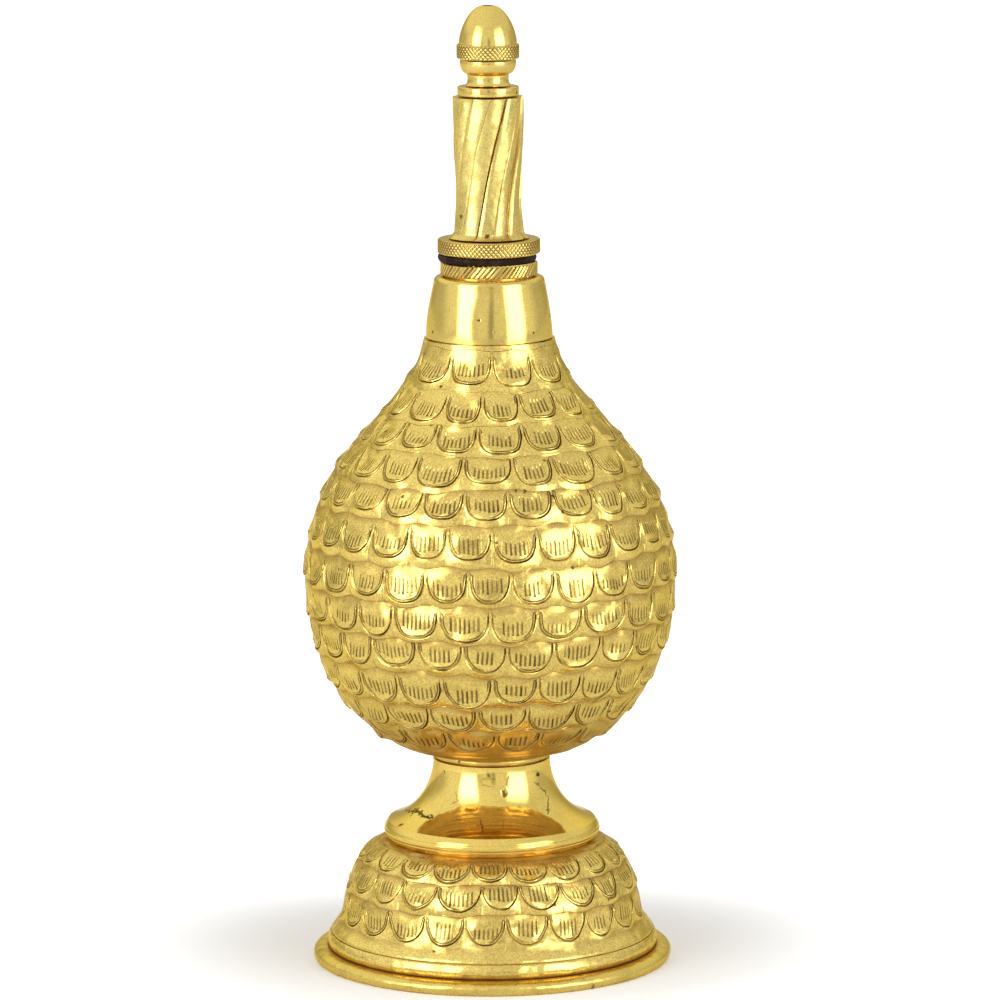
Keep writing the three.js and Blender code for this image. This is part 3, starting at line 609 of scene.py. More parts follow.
class ChasedSkin:
    """Lays the rows of scales on an outline, ring by ring, from the lowest row up.

    Each scale has a column on the cusp to its left, then its own columns from the left tip of its U to
    the right one.
    """

    def __init__(self, skin: Skin, outline: Outline, chasing: Chasing) -> None:
        """Prepares the rows.

        Args:
            skin: The skin that the rings go into.
            outline: The shell's outer outline.
            chasing: The rows and their cuts.
        """
        self.skin = skin
        self.outline = outline
        self.chasing = chasing
        self.draw = np.random.default_rng(SEED + chasing.seed)
        self.dents = Unevenness(chasing.seed + 1, 0.20, 15, 14, 0.7)
        self.wander = Unevenness(chasing.seed + 2, 0.38, 5)
        shares = chasing.shares()
        turn = np.concatenate([shares[-1:], shares[::-1], shares[1:]])
        self.across, self.rise = chasing.arc(turn)
        self.side = np.where(np.arange(len(turn)) <= chasing.columns, -1.0, 1.0)
        self.hold = np.ones(len(turn))
        self.hold[[0, 1, -1]] = (0.0, 0.5, 0.5)

    def lay(self) -> tuple[Ring, Ring]:
        """Lays all rows.

        Returns:
            The uppermost and the lowest ring.
        """
        top_turns = evenly(COLUMNS)
        edge = (top_turns, self.chasing.first_edge + self.wander.at(top_turns, 0.0) * 0.4)
        above: Ring | None = None
        first: Ring | None = None
        for row, below in zip(self.chasing.rows, (*self.chasing.rows[1:], None)):
            rings, edge = self.lay_row(row, edge, self.band_under(row, below))
            if above is None:
                first = rings[-1]
            else:
                self.skin.zipper(rings[-1], above)
            above = rings[0]
        return first, above

    def band_under(self, row: ScaleRow, below: ScaleRow | None) -> float:
        """How far the band of a row reaches under its U's.

        Args:
            row: The row.
            below: The row below it, if there is one.

        Returns:
            The length along the outline.
        """
        if below is None:
            return self.chasing.band
        pitch = self.outline.length_at(below.level) - self.outline.length_at(row.level)
        return float(np.clip((pitch - below.deep) * self.chasing.share, *self.chasing.band_limits))

    def lay_row(self, row: ScaleRow, edge: tuple[Array, Array],
                band_size: float) -> tuple[list[Ring], tuple[Array, Array]]:
        """Lays one row of scales.

        Args:
            row: The row.
            edge: Turns and lengths of the lower edge of the row above.
            band_size: From the bottoms of the U's to the row's own lower edge.

        Returns:
            Its rings from the lower edge up, and the turns and lengths of its lower edge.
        """
        chasing, n = self.chasing, row.count
        pitch = FULL_TURN / n
        start = math.radians(row.front) - pitch / 2
        cusps = start + pitch * (np.arange(n) + self.lots(chasing.cusps_uneven, n))
        after = np.append(cusps[1:], cusps[0] + FULL_TURN)
        middles = (cusps + after) / 2 + pitch * self.lots(chasing.middles_uneven, n)
        bottoms = self.outline.length_at(row.level) + self.lots(chasing.uneven, n)
        bottoms += self.wander.at(middles, row.level)
        around = float(self.outline.place(np.mean(bottoms), 0.0)[0])
        left = self.side[None, :] < 0
        half = np.where(left, (middles - cusps)[:, None], (after - middles)[:, None])
        room = np.interp(cusps, *edge, period=FULL_TURN) + chasing.tip
        tips = (bottoms + np.roll(bottoms, 1)) / 2 - row.deep + self.lots(chasing.tips_uneven, n)
        tips = np.maximum(tips, room)
        tip = np.where(left, tips[:, None], np.roll(tips, -1)[:, None])
        tip = np.minimum(tip, bottoms[:, None] - chasing.least_deep)

        def on_cusp(turns: Array) -> Array:
            """Turns with the first column of each scale put on its cusp."""
            turns[:, 0] = cusps
            return turns

        def along_line(cut: Cut) -> tuple[Array, Array]:
            """The ring that runs along the U lines.

            Args:
                cut: How it runs.

            Returns:
                Its turns and lengths, by scale and column.
            """
            reach = half - max(chasing.ridge - cut.out, 0.12) / around
            bottom = (bottoms + cut.out)[:, None]
            length = bottom - (bottom - tip - cut.horn) * self.rise
            length[:, 0] = (tip[:, 0] + np.roll(tip[:, -1], 1)) / 2 + cut.crossing
            return on_cusp(middles[:, None] + self.side * reach * self.across), length

        lines = [along_line(cut) for cut in chasing.cuts]
        turns = lines[0][0]
        lower = self.lower_edge(bottoms, np.abs(turns - middles[:, None]) / half) + band_size
        low_turns, low_lengths = turns.ravel(), lower.ravel()
        band = [(turns, lower)]
        for share in chasing.band_rings:
            band.append((turns, lower + (np.minimum(lines[0][1], lower - 0.1) - lower) * share))
        top = np.abs(np.arange(len(self.side)) - 1 - chasing.columns) / (chasing.columns + 0.6)
        top_turns = on_cusp(middles[:, None] + self.side * half * top)
        top_length = np.interp(top_turns.ravel(), *edge, period=FULL_TURN).reshape(top_turns.shape)
        top_length += chasing.top_gap
        start_turns, start_length = lines[-1]
        slant = self.lots(chasing.slant, n)[:, None] * (1 - top**2)
        fill = []
        for share in chasing.inside:
            turn_here = start_turns + (top_turns - start_turns) * share + slant * half * share
            fill.append((on_cusp(turn_here), start_length + (top_length - start_length) * share))
        lot = self.draw.uniform(0, 1, n)[:, None] + np.zeros(len(self.side))
        waves = self.wander.at(middles * 3, 0.3 * row.level)
        relief = chasing.relief * (1 + chasing.relief_uneven * waves)[:, None]
        tall = (bottoms - tips)[:, None]
        leans = self.draw.normal(0, chasing.lean, (2, n))
        strength = float(np.interp(row.level, *chasing.strength))
        crisp = float(np.interp(row.level, *chasing.crisp))
        rounded = ((0.0, 0.45, 0.9, 99.0), (0.0, 0.12 + 0.33 * crisp, 0.9, 99.0))
        made = []
        for ring_turns, length in band + lines + fill:
            flat_turns, flat_length = ring_turns.ravel(), length.ravel()
            over = np.interp(flat_turns, low_turns, low_lengths, period=FULL_TURN) - flat_length
            under = flat_length - np.interp(flat_turns, *edge, period=FULL_TURN)
            band_lift = np.interp(np.interp(over, *rounded), *chasing.band_shape)
            lift = strength * (band_lift + np.interp(under, *chasing.top_shape))
            # Painted shade: the crease under each band, the shade under the band above, and more by height
            sunk = np.interp(over, *chasing.painted_crease_shade) + np.interp(under, *chasing.painted_band_shade)
            sunk = np.clip(strength * sunk, 0, 1)
            number = len(made) - len(band)
            if 0 <= number < len(lines):
                lift = lift + chasing.cuts[number].lift * np.tile(self.hold, n)
            aside = (ring_turns - middles[:, None]) * around
            up = bottoms[:, None] - length
            off = up - chasing.thumb_at * tall
            wide, high = chasing.thumb_wide * half * around, chasing.thumb_tall * tall
            pressed = (aside / wide) ** 4 + (off / high) ** 4
            across = np.clip(np.abs(ring_turns - middles[:, None]) / half, 0, 1)
            leaning = aside * leans[0][:, None] + off * leans[1][:, None]
            lift = lift.reshape(length.shape) + (leaning - chasing.thumb) * np.exp(-pressed)
            low = np.exp(-(((up - chasing.bulge_at) / chasing.bulge_tall) ** 2))
            lift = lift + chasing.bulge * np.cos(math.pi * across) * low
            lift = self.at_cusps(lift * relief).ravel() + self.dents.at(flat_turns, flat_length)
            radii, heights = self.outline.place(flat_length, lift)
            sunk = np.maximum(sunk, np.interp(heights, *chasing.painted_shade))
            ring = self.skin.ring(flat_turns, radii, heights, sunk)
            line = self.off_line(ring_turns, length, lines[1], around) * (-1.0 if number < 1 else 1.0)
            line[:, 0] = -np.abs(line[:, 0])
            parts = (aside, up, lot, line, 1 - across)
            self.skin.cells[ring.first] = Cell(*(part.ravel() for part in parts))
            made.append(ring)
        for one, other in zip(made[:-1], made[1:]):
            self.skin.grid(one, other)
        return made, (low_turns, low_lengths)

    def lots(self, most: float, count: int) -> Array:
        """Draws one number for each scale, up to a size on both sides of zero."""
        return self.draw.uniform(-most, most, count)

    def lower_edge(self, bottoms: Array, across: Array) -> Array:
        """A soft wave that hangs lowest under each U, level with its bottom.

        Args:
            bottoms: The lengths of the bottoms of the U's.
            across: How far each column is from its scale's middle, from 0 to 1.

        Returns:
            The lengths by scale and column.
        """
        before, after = ((bottoms + np.roll(bottoms, way)) / 2 for way in (1, -1))
        beside = np.where(self.side[None, :] < 0, before[:, None], after[:, None])
        share = (1 - np.cos(math.pi * np.clip(across, 0, 1))) / 2
        return bottoms[:, None] * (1 - share) + beside * share - self.chasing.scallop * share

    def off_line(self, turns: Array, length: Array, line: tuple[Array, Array],
                 around: float) -> Array:
        """How far vertices are from the U line of their own scale.

        Args:
            turns: The turns of the vertices, by scale and column.
            length: Their lengths.
            line: Turns and lengths of the line.
            around: The radius of the row.

        Returns:
            The distances.
        """
        line_turns, line_length = (part[:, 1:] for part in line)
        at = np.arange(line_turns.shape[1])
        finer = np.linspace(0, at[-1], 8 * len(at))
        line_turns, line_length = (np.array([np.interp(finer, at, row) for row in part])
                                   for part in (line_turns, line_length))
        away = np.hypot((turns[:, :, None] - line_turns[:, None, :]) * around,
                        length[:, :, None] - line_length[:, None, :])
        return away.min(axis=2)

    def at_cusps(self, values: Array) -> Array:
        """Values with the ones on a cusp brought half way to the mean of their two neighbours'.

        Args:
            values: The values, by scale and column.

        Returns:
            The new values.
        """
        values = values.copy()
        values[:, 0] = (values[:, 0] + (values[:, 1] + np.roll(values[:, -1], 1)) / 2) / 2
        return values


# Finishes

NUMBER_OUT = ("DOT_PRODUCT", "DISTANCE", "LENGTH")  # operations on vectors that give a number


class Wiring:
    """Short ways to place and link nodes in a tree."""

    def __init__(self, tree: NodeTree) -> None:
        """Keeps the tree."""
        self.tree = tree

    def node(self, kind: str, settings: dict[str, object] | None = None, **inputs: object) -> Node:
        """Places a node.

        Args:
            kind: The node's type, without ShaderNode in front.
            settings: Its properties.
            inputs: Values or sockets for its inputs, with _ for a space, or in0, in1 by place.

        Returns:
            The node.
        """
        made = self.tree.nodes.new(f"ShaderNode{kind}")
        for label, value in (settings or {}).items():
            setattr(made, label, value)
        for label, value in inputs.items():
            by_place = label.startswith("in") and label[2:].isdigit()
            socket = made.inputs[int(label[2:])] if by_place else made.inputs[label.replace("_", " ")]
            if isinstance(value, Socket):
                self.tree.links.new(value, socket)
            else:
                socket.default_value = value
        return made

    def group(self, group: NodeTree, vector: Socket, **values: float) -> Node:
        """Places a shared effect with its own values.

        Args:
            group: The effect's node group.
            vector: The coordinates that it reads.
            values: The values of its inputs.

        Returns:
            The group node.
        """
        return self.node("Group", {"node_tree": group}, Vector=vector, **values)

    def math(self, operation: str, one: object, other: object = 0.0) -> Socket:
        """The result of a Math node with two values or sockets."""
        return self.node("Math", {"operation": operation}, in0=one, in1=other).outputs[0]

    def vector_math(self, operation: str, **inputs: object) -> Socket:
        """The result of a Vector Math node."""
        made = self.node("VectorMath", {"operation": operation}, **inputs)
        return made.outputs["Value" if operation in NUMBER_OUT else 0]

    def times(self, one: object, other: object) -> Socket:
        """The product of two numbers."""
        return self.math("MULTIPLY", one, other)

    def plus(self, one: object, other: object) -> Socket:
        """The sum of two numbers."""
        return self.math("ADD", one, other)

    def minus(self, one: object, other: object) -> Socket:
        """The first number less the second."""
        return self.math("SUBTRACT", one, other)

    def most(self, one: object, other: object) -> Socket:
        """The greater of two numbers."""
        return self.math("MAXIMUM", one, other)

    def size(self, value: object) -> Socket:
        """A number without its sign."""
        return self.math("ABSOLUTE", value)

    def kept(self, value: object) -> Socket:
        """A number kept from 0 to 1."""
        settings = {"operation": "MULTIPLY", "use_clamp": True}
        return self.node("Math", settings, in0=value, in1=1.0).outputs[0]

    def ramp(self, value: object, low: float, high: float, start: float = 0.0,
             end: float = 1.0) -> Socket:
        """A value taken smoothly from one range to another, and kept in it.

        Args:
            value: The value or socket.
            low: The value that gives start.
            high: The value that gives end.
            start: The result at low.
            end: The result at high.

        Returns:
            The output socket.
        """
        settings = {"interpolation_type": "SMOOTHSTEP"}
        made = self.node("MapRange", settings, in0=value, in1=low, in2=high, in3=start, in4=end)
        return made.outputs[0]

    def blend(self, share: object, one: object, other: object) -> Socket:
        """Two numbers mixed by a share."""
        return self.node("Mix", in0=share, in2=one, in3=other).outputs[0]

    def mix(self, share: object, one: object, other: object) -> Socket:
        """Two colours mixed by a share."""
        return self.node("Mix", {"data_type": "RGBA"}, in0=share, in6=one, in7=other).outputs[2]

    def noise(self, vector: object, scale: object, detail: float = 3.0, rough: float = 0.5) -> Socket:
        """The value of a Noise Texture."""
        made = self.node("TexNoise", Vector=vector, Scale=scale, Detail=detail, Roughness=rough)
        return made.outputs[0]

    def chance(self, one: object, other: object) -> Sockets:
        """Three numbers drawn for each pair of numbers.

        Args:
            one: The first number.
            other: The second number.

        Returns:
            The three sockets, each from 0 to 1.
        """
        pair = self.node("CombineXYZ", in0=one, in1=other)
        drawn = self.node("TexWhiteNoise", {"noise_dimensions": "3D"}, Vector=pair.outputs[0])
        return self.node("SeparateColor", in0=drawn.outputs["Color"]).outputs

    def put(self, value: Socket, target: Socket) -> None:
        """Links an output to an input."""
        self.tree.links.new(value, target)


def node_group(name: str, inputs: dict[str, float],
               *outputs: str) -> tuple[NodeTree, Wiring, Sockets, Sockets]:
    """A new shader node group with a vector input, plain number inputs and number outputs.

    Args:
        name: The group's name.
        inputs: The number inputs and their default values.
        outputs: The names of the outputs.

    Returns:
        The group, its wiring, what goes into it and what it puts out.
    """
    group = bpy.data.node_groups.new(name, "ShaderNodeTree")
    group.interface.new_socket("Vector", in_out="INPUT", socket_type="NodeSocketVector")
    for label, value in inputs.items():
        socket = group.interface.new_socket(label, in_out="INPUT", socket_type="NodeSocketFloat")
        socket.default_value = value
    for label in outputs:
        group.interface.new_socket(label, in_out="OUTPUT", socket_type="NodeSocketFloat")
    inside, outside = group.nodes.new("NodeGroupInput"), group.nodes.new("NodeGroupOutput")
    return group, Wiring(group), inside.outputs, outside.inputs


def new_material(name: str) -> tuple[Material, Wiring, Node]:
    """A new material.

    Args:
        name: Its name.

    Returns:
        The material, its wiring and its Principled BSDF.
    """
    material = bpy.data.materials.new(name)
    material.use_nodes = True
    return material, Wiring(material.node_tree), material.node_tree.nodes["Principled BSDF"]


@dataclass(frozen=True)
class Mark:
    """A deep scratch from one place to another, each as degrees from the front and height."""

    start: tuple[float, float]
    end: tuple[float, float]
    wide: float = 1.0
    deep: float = 1.0


DEEP_MARKS = (
    Mark((-89, 39.0), (-64, 40.4), 1.1),
    Mark((-64, 40.4), (-60, 39.9), 1.1),
    Mark((-60, 39.9), (-46, 40.0), 1.3),
    Mark((-75, 40.6), (-69, 39.1), 1.0),
    Mark((-71, 40.3), (-62, 40.7), 0.8),
    Mark((45, 48.7), (55, 45.9), 0.8, 0.7),
    Mark((55, 45.9), (57, 44.3), 0.9, 0.8),
    Mark((57, 44.3), (46, 40.9), 0.9, 0.8),
    Mark((50, 50.6), (52, 50.2), 2.2),
    Mark((-53, 51.1), (-52, 50.9), 1.7),
    Mark((16, 51.0), (15, 48.8), 1.8, 0.8),
    Mark((-9, 50.4), (4, 50.4), 0.6, 0.5),
    Mark((-8, 48.7), (-1, 48.6), 0.8, 0.6),
    Mark((-34, 46.9), (-32, 44.8), 0.7, 0.7),
    Mark((-34, 43.5), (-27, 45.7), 0.7, 0.7),
    Mark((-8, 40.7), (-6, 38.3), 0.7, 0.7),
    Mark((8, 40.3), (8, 38.6), 0.6, 0.6),
)
UNROLLED_RADIUS = 18.0  # where the marks are drawn, as on a sheet rolled round the cone


def unrolled(degrees: float, height: float) -> Vector:
    """A place on that sheet, in metres."""
    return Vector((math.radians(degrees) * UNROLLED_RADIUS, height, 0)) * MM


class Effects:
    """The effects that the finishes share, each a node group built once."""

    def __init__(self) -> None:
        """Builds the groups."""
        self.tarnish = self.build_tarnish()
        self.scratches = self.build_scratches()
        self.pits = self.build_pits()
        self.chased = self.build_chased()
        self.marks = self.build_marks()

    def build_tarnish(self) -> NodeTree:
        """Cloudy browning and handling marks.

        Returns:
            The group. It puts out their mask and how much rougher they are.
        """
        values = {"Size": 60.0, "Amount": 0.4}
        group, net, inside, outside = node_group("Tarnish", values, "Mask", "Roughness")
        cloud = net.noise(inside["Vector"], inside["Size"], 5.0, 0.62)
        grain = net.noise(inside["Vector"], net.times(inside["Size"], 7.3), 4.0, 0.7)
        both = net.plus(net.times(cloud, 0.68), net.times(grain, 0.32))
        mask = net.times(net.ramp(both, 0.46, 0.66), inside["Amount"])
        net.put(mask, outside["Mask"])
        net.put(net.times(net.ramp(grain, 0.3, 0.75), 0.09), outside["Roughness"])
        return group

    def build_scratches(self) -> NodeTree:
        """Fine polishing lines round the object and a few crossing ones.

        Returns:
            The group. It puts out their height.
        """
        values = {"Round": 1.0, "Cross": 1.0}
        group, net, inside, outside = node_group("Polishing lines", values, "Height")
        level = net.node("Mapping", in0=inside["Vector"], in3=(60.0, 60.0, 5200.0))
        lines = net.noise(level.outputs[0], 1.0, 2.0, 0.6)
        tilted = net.node("Mapping", in0=inside["Vector"], in2=(0.5, 0.9, 0.7), in3=(90.0, 90.0, 3600.0))
        sparse = net.ramp(net.noise(tilted.outputs[0], 1.0, 1.0, 0.5), 0.66, 0.8)
        crossing = net.times(sparse, inside["Cross"])
        height = net.minus(net.times(lines, inside["Round"]), crossing)
        net.put(height, outside["Height"])
        return group

    def build_pits(self) -> NodeTree:
        """Scattered pits and nicks.

        Returns:
            The group. It puts out a mask that is 1 in a pit.
        """
        bend_size, bend_reach = 900.0, (0.0012, 0.0012, 0.0012)
        group, net, inside, outside = node_group("Pits", {"Size": 420.0, "Share": 0.5}, "Mask")
        bent = net.node("TexNoise", Vector=inside["Vector"], Scale=bend_size, Detail=2.0)
        shifted = net.vector_math("MULTIPLY_ADD", in0=bent.outputs["Color"], in1=bend_reach,
                                  in2=inside["Vector"])
        cells = net.node("TexVoronoi", Vector=shifted, Scale=inside["Size"])
        near = net.ramp(cells.outputs["Distance"], 0.10, 0.30, 1.0, 0.0)
        lot = net.node("SeparateColor", in0=cells.outputs["Color"])
        chosen = net.math("LESS_THAN", lot.outputs[0], inside["Share"])
        net.put(net.times(near, chosen), outside["Mask"])
        return group

    def build_marks(self) -> NodeTree:
        """A few deep scratches and nicks, each near a line between two places.

        Returns:
            The group. It puts out their mask.
        """
        bend_size, bend_reach = 700.0, (0.0018, 0.0018, 0.0)
        group, net, inside, outside = node_group("Deep marks", {"Width": 0.22}, "Mask")
        parts = net.node("SeparateXYZ", in0=inside["Vector"])
        turn = net.math("ARCTAN2", parts.outputs[0], net.times(parts.outputs[1], -1.0))
        sheet = net.node("CombineXYZ", in0=net.times(turn, UNROLLED_RADIUS * MM), in1=parts.outputs[2])
        spread = net.node("TexNoise", Vector=inside["Vector"], Scale=bend_size, Detail=2.0)
        centred = net.vector_math("SUBTRACT", in0=spread.outputs["Color"], in1=(0.5, 0.5, 0.5))
        bent = net.vector_math("MULTIPLY_ADD", in0=centred, in1=bend_reach, in2=sheet.outputs[0])
        mask: object = 0.0
        for mark in DEEP_MARKS:
            start, end = (unrolled(*place) for place in (mark.start, mark.end))
            away = self.off_segment(net, bent, start, end)
            edge = net.times(inside["Width"], mark.wide * MM)
            near = net.ramp(away, net.times(edge, 1.5), net.times(edge, 0.5))
            mask = net.most(mask, net.times(near, mark.deep))
        net.put(mask, outside["Mask"])
        return group

    def off_segment(self, net: Wiring, place: Socket, start: Vector, end: Vector) -> Socket:
        """The distance of a place to the line between two points.

        Args:
            net: The tree's wiring.
            place: The place.
            start: Where the line starts.
            end: Where it ends.

        Returns:
            The distance socket.
        """
        way = end - start
        to_place = net.vector_math("SUBTRACT", in0=place, in1=start)
        along = net.vector_math("DOT_PRODUCT", in0=to_place, in1=way / way.length_squared)
        foot = net.vector_math("SCALE", in0=way, in3=net.kept(along))
        return net.vector_math("DISTANCE", in0=to_place, in1=foot)

    def build_chased(self) -> NodeTree:
        """The chaser's U lines and comb strokes, placed by the marks on the mesh, in millimetres.

        Returns:
            The group. It puts out a mask of the cuts, which the finish paints as shade, their height, and a
            mask of the combs.
        """
        values = {"Pitch": 1.18, "Foot": 1.2, "Side": 0.26, "Second": 0.62}
        group, net, inside, outside = node_group("Chased lines", values, "Mask", "Height", "Comb")
        marks = {name: net.node("Attribute", {"attribute_name": name}).outputs["Fac"]
                 for name in CELL_MARKS}
        stroke, comb = self.strokes(net, inside, marks)
        cuts = self.lines(net, inside, marks)
        net.put(net.most(cuts, net.times(stroke, 0.9)), outside["Mask"])
        depth = net.plus(net.times(cuts, 0.42), net.times(stroke, 0.42))
        net.put(net.times(depth, -1.0), outside["Height"])
        net.put(comb, outside["Comb"])
        return group

    def strokes(self, net: Wiring, inside: Sockets,
                marks: dict[str, Socket]) -> tuple[Socket, Socket]:
        """The comb of strokes in each scale.

        Args:
            net: The group's wiring.
            inside: What goes into the group.
            marks: The marks on the mesh, by name.

        Returns:
            The mask of the strokes and the mask of the combs that they make.
        """
        aside, up, lot = marks["aside"], marks["up"], marks["lot"]
        slant = net.times(net.minus(lot, 0.5), 0.16)
        shifted = net.plus(aside, net.times(up, slant))
        count = net.plus(net.math("DIVIDE", shifted, inside["Pitch"]), net.times(lot, 9.7))
        number = net.math("FLOOR", count)
        off = net.size(net.minus(net.minus(count, number), 0.5))
        each = net.chance(number, net.times(lot, 91.7))  # drawn for each stroke
        own = net.chance(net.times(lot, 57.3), 3.1)  # drawn for each scale
        bow = net.times(net.times(aside, aside), 0.05)
        foot = net.plus(net.times(own[0], 1.2), inside["Foot"])
        over = net.minus(net.minus(up, foot), bow)
        start = net.times(net.minus(each[1], 0.5), 0.6)
        lower = net.ramp(net.minus(over, start), -0.08, 0.12)
        tall = net.plus(net.times(own[1], 1.7), 1.5)
        tall = net.plus(net.times(each[0], 0.8), tall)
        upper = net.ramp(net.minus(over, tall), 0.9, -0.4)
        blob = net.ramp(over, 0.7, 0.1, 0.0, 0.07)  # where the punch was driven in deepest
        core = net.ramp(off, net.plus(blob, 0.25), net.plus(blob, 0.13))
        side = net.plus(net.times(own[2], 0.30), inside["Side"])
        comb = net.ramp(marks["inside"], side, net.plus(side, 0.07))
        stroke = net.times(net.times(core, lower), net.times(upper, comb))
        stroke = net.times(stroke, net.plus(net.times(each[2], 0.4), 0.6))
        within = net.times(net.ramp(over, -0.3, 0.3), net.ramp(over, 5.0, 3.2))
        return stroke, net.times(within, comb)

    def lines(self, net: Wiring, inside: Sockets, marks: dict[str, Socket]) -> Socket:
        """The U line round each scale, and the thinner one inside it that fades in and out.

        Args:
            net: The group's wiring.
            inside: What goes into the group.
            marks: The marks on the mesh, by name.

        Returns:
            The mask of the lines.
        """
        place = inside["Vector"]
        shake = net.times(net.minus(net.noise(place, 420.0, 1.0), 0.5), 0.35)
        near = net.plus(marks["line"], shake)
        press = net.ramp(net.noise(place, 170.0, 1.0), 0.36, 0.58, 0.55, 1.0)
        one = net.ramp(net.size(near), 0.25, 0.10)
        one = net.times(one, net.most(press, net.ramp(marks["up"], 3.4, 5.2)))
        # Painted shade: a line is darker on its scale's right arm than on its left
        one = net.times(one, net.ramp(marks["aside"], -4.0, 2.5, 0.62, 1.0))
        two = net.ramp(net.size(net.minus(near, inside["Second"])), 0.22, 0.09)
        two = net.times(two, net.ramp(net.noise(place, 120.0, 1.0), 0.40, 0.54))
        return net.most(one, net.times(two, 0.8))


@dataclass(frozen=True)
class BrassFinish:
    """A finish of yellow brass. Colours are linear."""

    look: Look
    slot: Slot
    colour: Colour = (0.82, 0.62, 0.165)
    edge: Colour = (1.0, 0.86, 0.45)
    # brown serves tarnish, the combs and painted shade in hollows; dark serves pits, marks and painted shade
    # in grooves and cuts
    brown: Colour = (0.44, 0.255, 0.070)
    dark: Colour = (0.065, 0.036, 0.012)
    painted_reflection: Colour = (0.62, 0.42, 0.26)  # painted reflection: a browner, duller colour that brass shows in other brass
    roughness: float = 0.16
    painted_reflection_share: float = 0.55
    haze: float = 1.0  # share of the tarnish's roughness that shows
    groove_rough: float = 0.12
    spot_rough: float = 0.25  # how much rougher pits, grooves and cuts are
    tarnish: float = 0.35
    tarnish_size: float = 60.0
    # painted shade: how dark the grooves get and how brown the hollows get, by the sunk mark
    painted_groove_shade: float = 0.0
    painted_hollow_shade: float = 0.75
    comb_brown: float = 0.14
    lines: float = 0.25
    crossing: float = 0.5
    bump: float = 0.000010  # metres that a polishing line is deep
    pit_depth: float = 8.0  # how many times deeper a pit is
    grain: float = 0.10
    grain_size: float = 2100.0
    dents: float = 0.0
    dent_size: float = 210.0
    pit_share: float = 0.02
    pit_size: float = 420.0
    chased: bool = False
    marked: bool = False

    def build(self, effects: Effects) -> Material:
        """Makes the material.

        Args:
            effects: The shared effects.

        Returns:
            The material.
        """
        material, net, shader = new_material(f"{self.look.value}_brass")
        shader.inputs["Metallic"].default_value = 1.0
        shader.inputs["Specular Tint"].default_value = (*self.edge, 1)
        place = net.node("TexCoord").outputs["Object"]
        stain = net.group(effects.tarnish, place, Size=self.tarnish_size, Amount=self.tarnish)
        lines = net.group(effects.scratches, place, Round=self.lines, Cross=self.crossing)
        pits = net.group(effects.pits, place, Size=self.pit_size, Share=self.pit_share).outputs["Mask"]
        # Painted shade: grooves darken and hollows brown by the sunk mark, over the real tarnish
        sunk = net.node("Attribute", {"attribute_name": "sunk"}).outputs["Fac"]
        groove = net.times(net.ramp(sunk, 0.45, 0.95), self.painted_groove_shade)
        hollow = net.times(net.ramp(sunk, 0.0, 0.5), self.painted_hollow_shade)
        speck = net.noise(place, self.grain_size, 2.0, 0.6)
        bright = net.ramp(speck, 0.35, 0.65, 1 - self.grain, 1 + self.grain / 2)
        grained = net.vector_math("SCALE", in0=self.colour, in3=bright)
        browned = net.mix(net.most(stain.outputs["Mask"], hollow), grained, (*self.brown, 1))
        spot = net.most(groove, net.times(pits, 0.9))
        if self.chased:
            cuts = net.group(effects.chased, place)
            spot = net.most(spot, cuts.outputs["Mask"])
            comb = net.times(cuts.outputs["Comb"], self.comb_brown)
            browned = net.mix(comb, browned, (*self.brown, 1))
        if self.marked:
            marks = net.group(effects.marks, place)
            spot = net.most(spot, net.times(marks.outputs["Mask"], 0.95))
        # Painted shade in grooves, cuts and strokes, with the real pits and marks, all mixed to dark
        colour = net.mix(spot, browned, (*self.dark, 1))
        # Painted reflection: glossy rays see the brass partly in that browner colour
        glossy = net.node("LightPath").outputs["Is Glossy Ray"]
        painted_reflection_tone = net.mix(self.painted_reflection_share, colour, (*self.painted_reflection, 1))
        net.put(net.mix(glossy, colour, painted_reflection_tone), shader.inputs["Base Color"])
        rough = net.plus(net.times(stain.outputs["Roughness"], self.haze), self.roughness)
        rough = net.plus(rough, net.times(net.ramp(sunk, 0.02, 0.4), self.groove_rough))
        net.put(net.plus(rough, net.times(spot, self.spot_rough)), shader.inputs["Roughness"])
        height = net.minus(lines.outputs["Height"], net.times(pits, self.pit_depth))
        bump = net.node("Bump", Strength=1.0, Distance=self.bump, Height=height)
        under = bump
        if self.dents:
            beaten = net.noise(place, self.dent_size, 1.5, 0.4)
            wide = net.node("Bump", Strength=1.0, Distance=self.dents, Height=beaten)
            net.put(wide.outputs[0], under.inputs["Normal"])
            under = wide
        if self.chased:
            deep = net.node("Bump", Strength=1.0, Distance=MM, Height=cuts.outputs["Height"])
            net.put(deep.outputs[0], under.inputs["Normal"])
        net.put(bump.outputs[0], shader.inputs["Normal"])
        return material


@dataclass(frozen=True)
class DustyFinish:
    """A plain finish with dust or dirt on it. Colours are linear."""

    look: Look
    slot: Slot
    colour: Colour
    dust: Colour
    dust_size: float
    dust_amount: float
    roughness: float
    metallic: float = 0.0
    sheen: float = 0.5
    grain_size: float = 2600.0
    grain_depth: float = 0.0  # metres

    def build(self, effects: Effects) -> Material:
        """Makes the material.

        Args:
            effects: The shared effects.

        Returns:
            The material.
        """
        material, net, shader = new_material(self.look.value)
        shader.inputs["Metallic"].default_value = self.metallic
        shader.inputs["Specular IOR Level"].default_value = self.sheen
        place = net.node("TexCoord").outputs["Object"]
        stain = net.group(effects.tarnish, place, Size=self.dust_size, Amount=self.dust_amount)
        colour = net.mix(stain.outputs["Mask"], (*self.colour, 1), (*self.dust, 1))
        net.put(colour, shader.inputs["Base Color"])
        net.put(net.plus(stain.outputs["Roughness"], self.roughness), shader.inputs["Roughness"])
        if self.grain_depth:
            grain = net.noise(place, self.grain_size, 2.0)
            bump = net.node("Bump", Strength=0.4, Distance=self.grain_depth, Height=grain)
            net.put(bump.outputs[0], shader.inputs["Normal"])
        return material


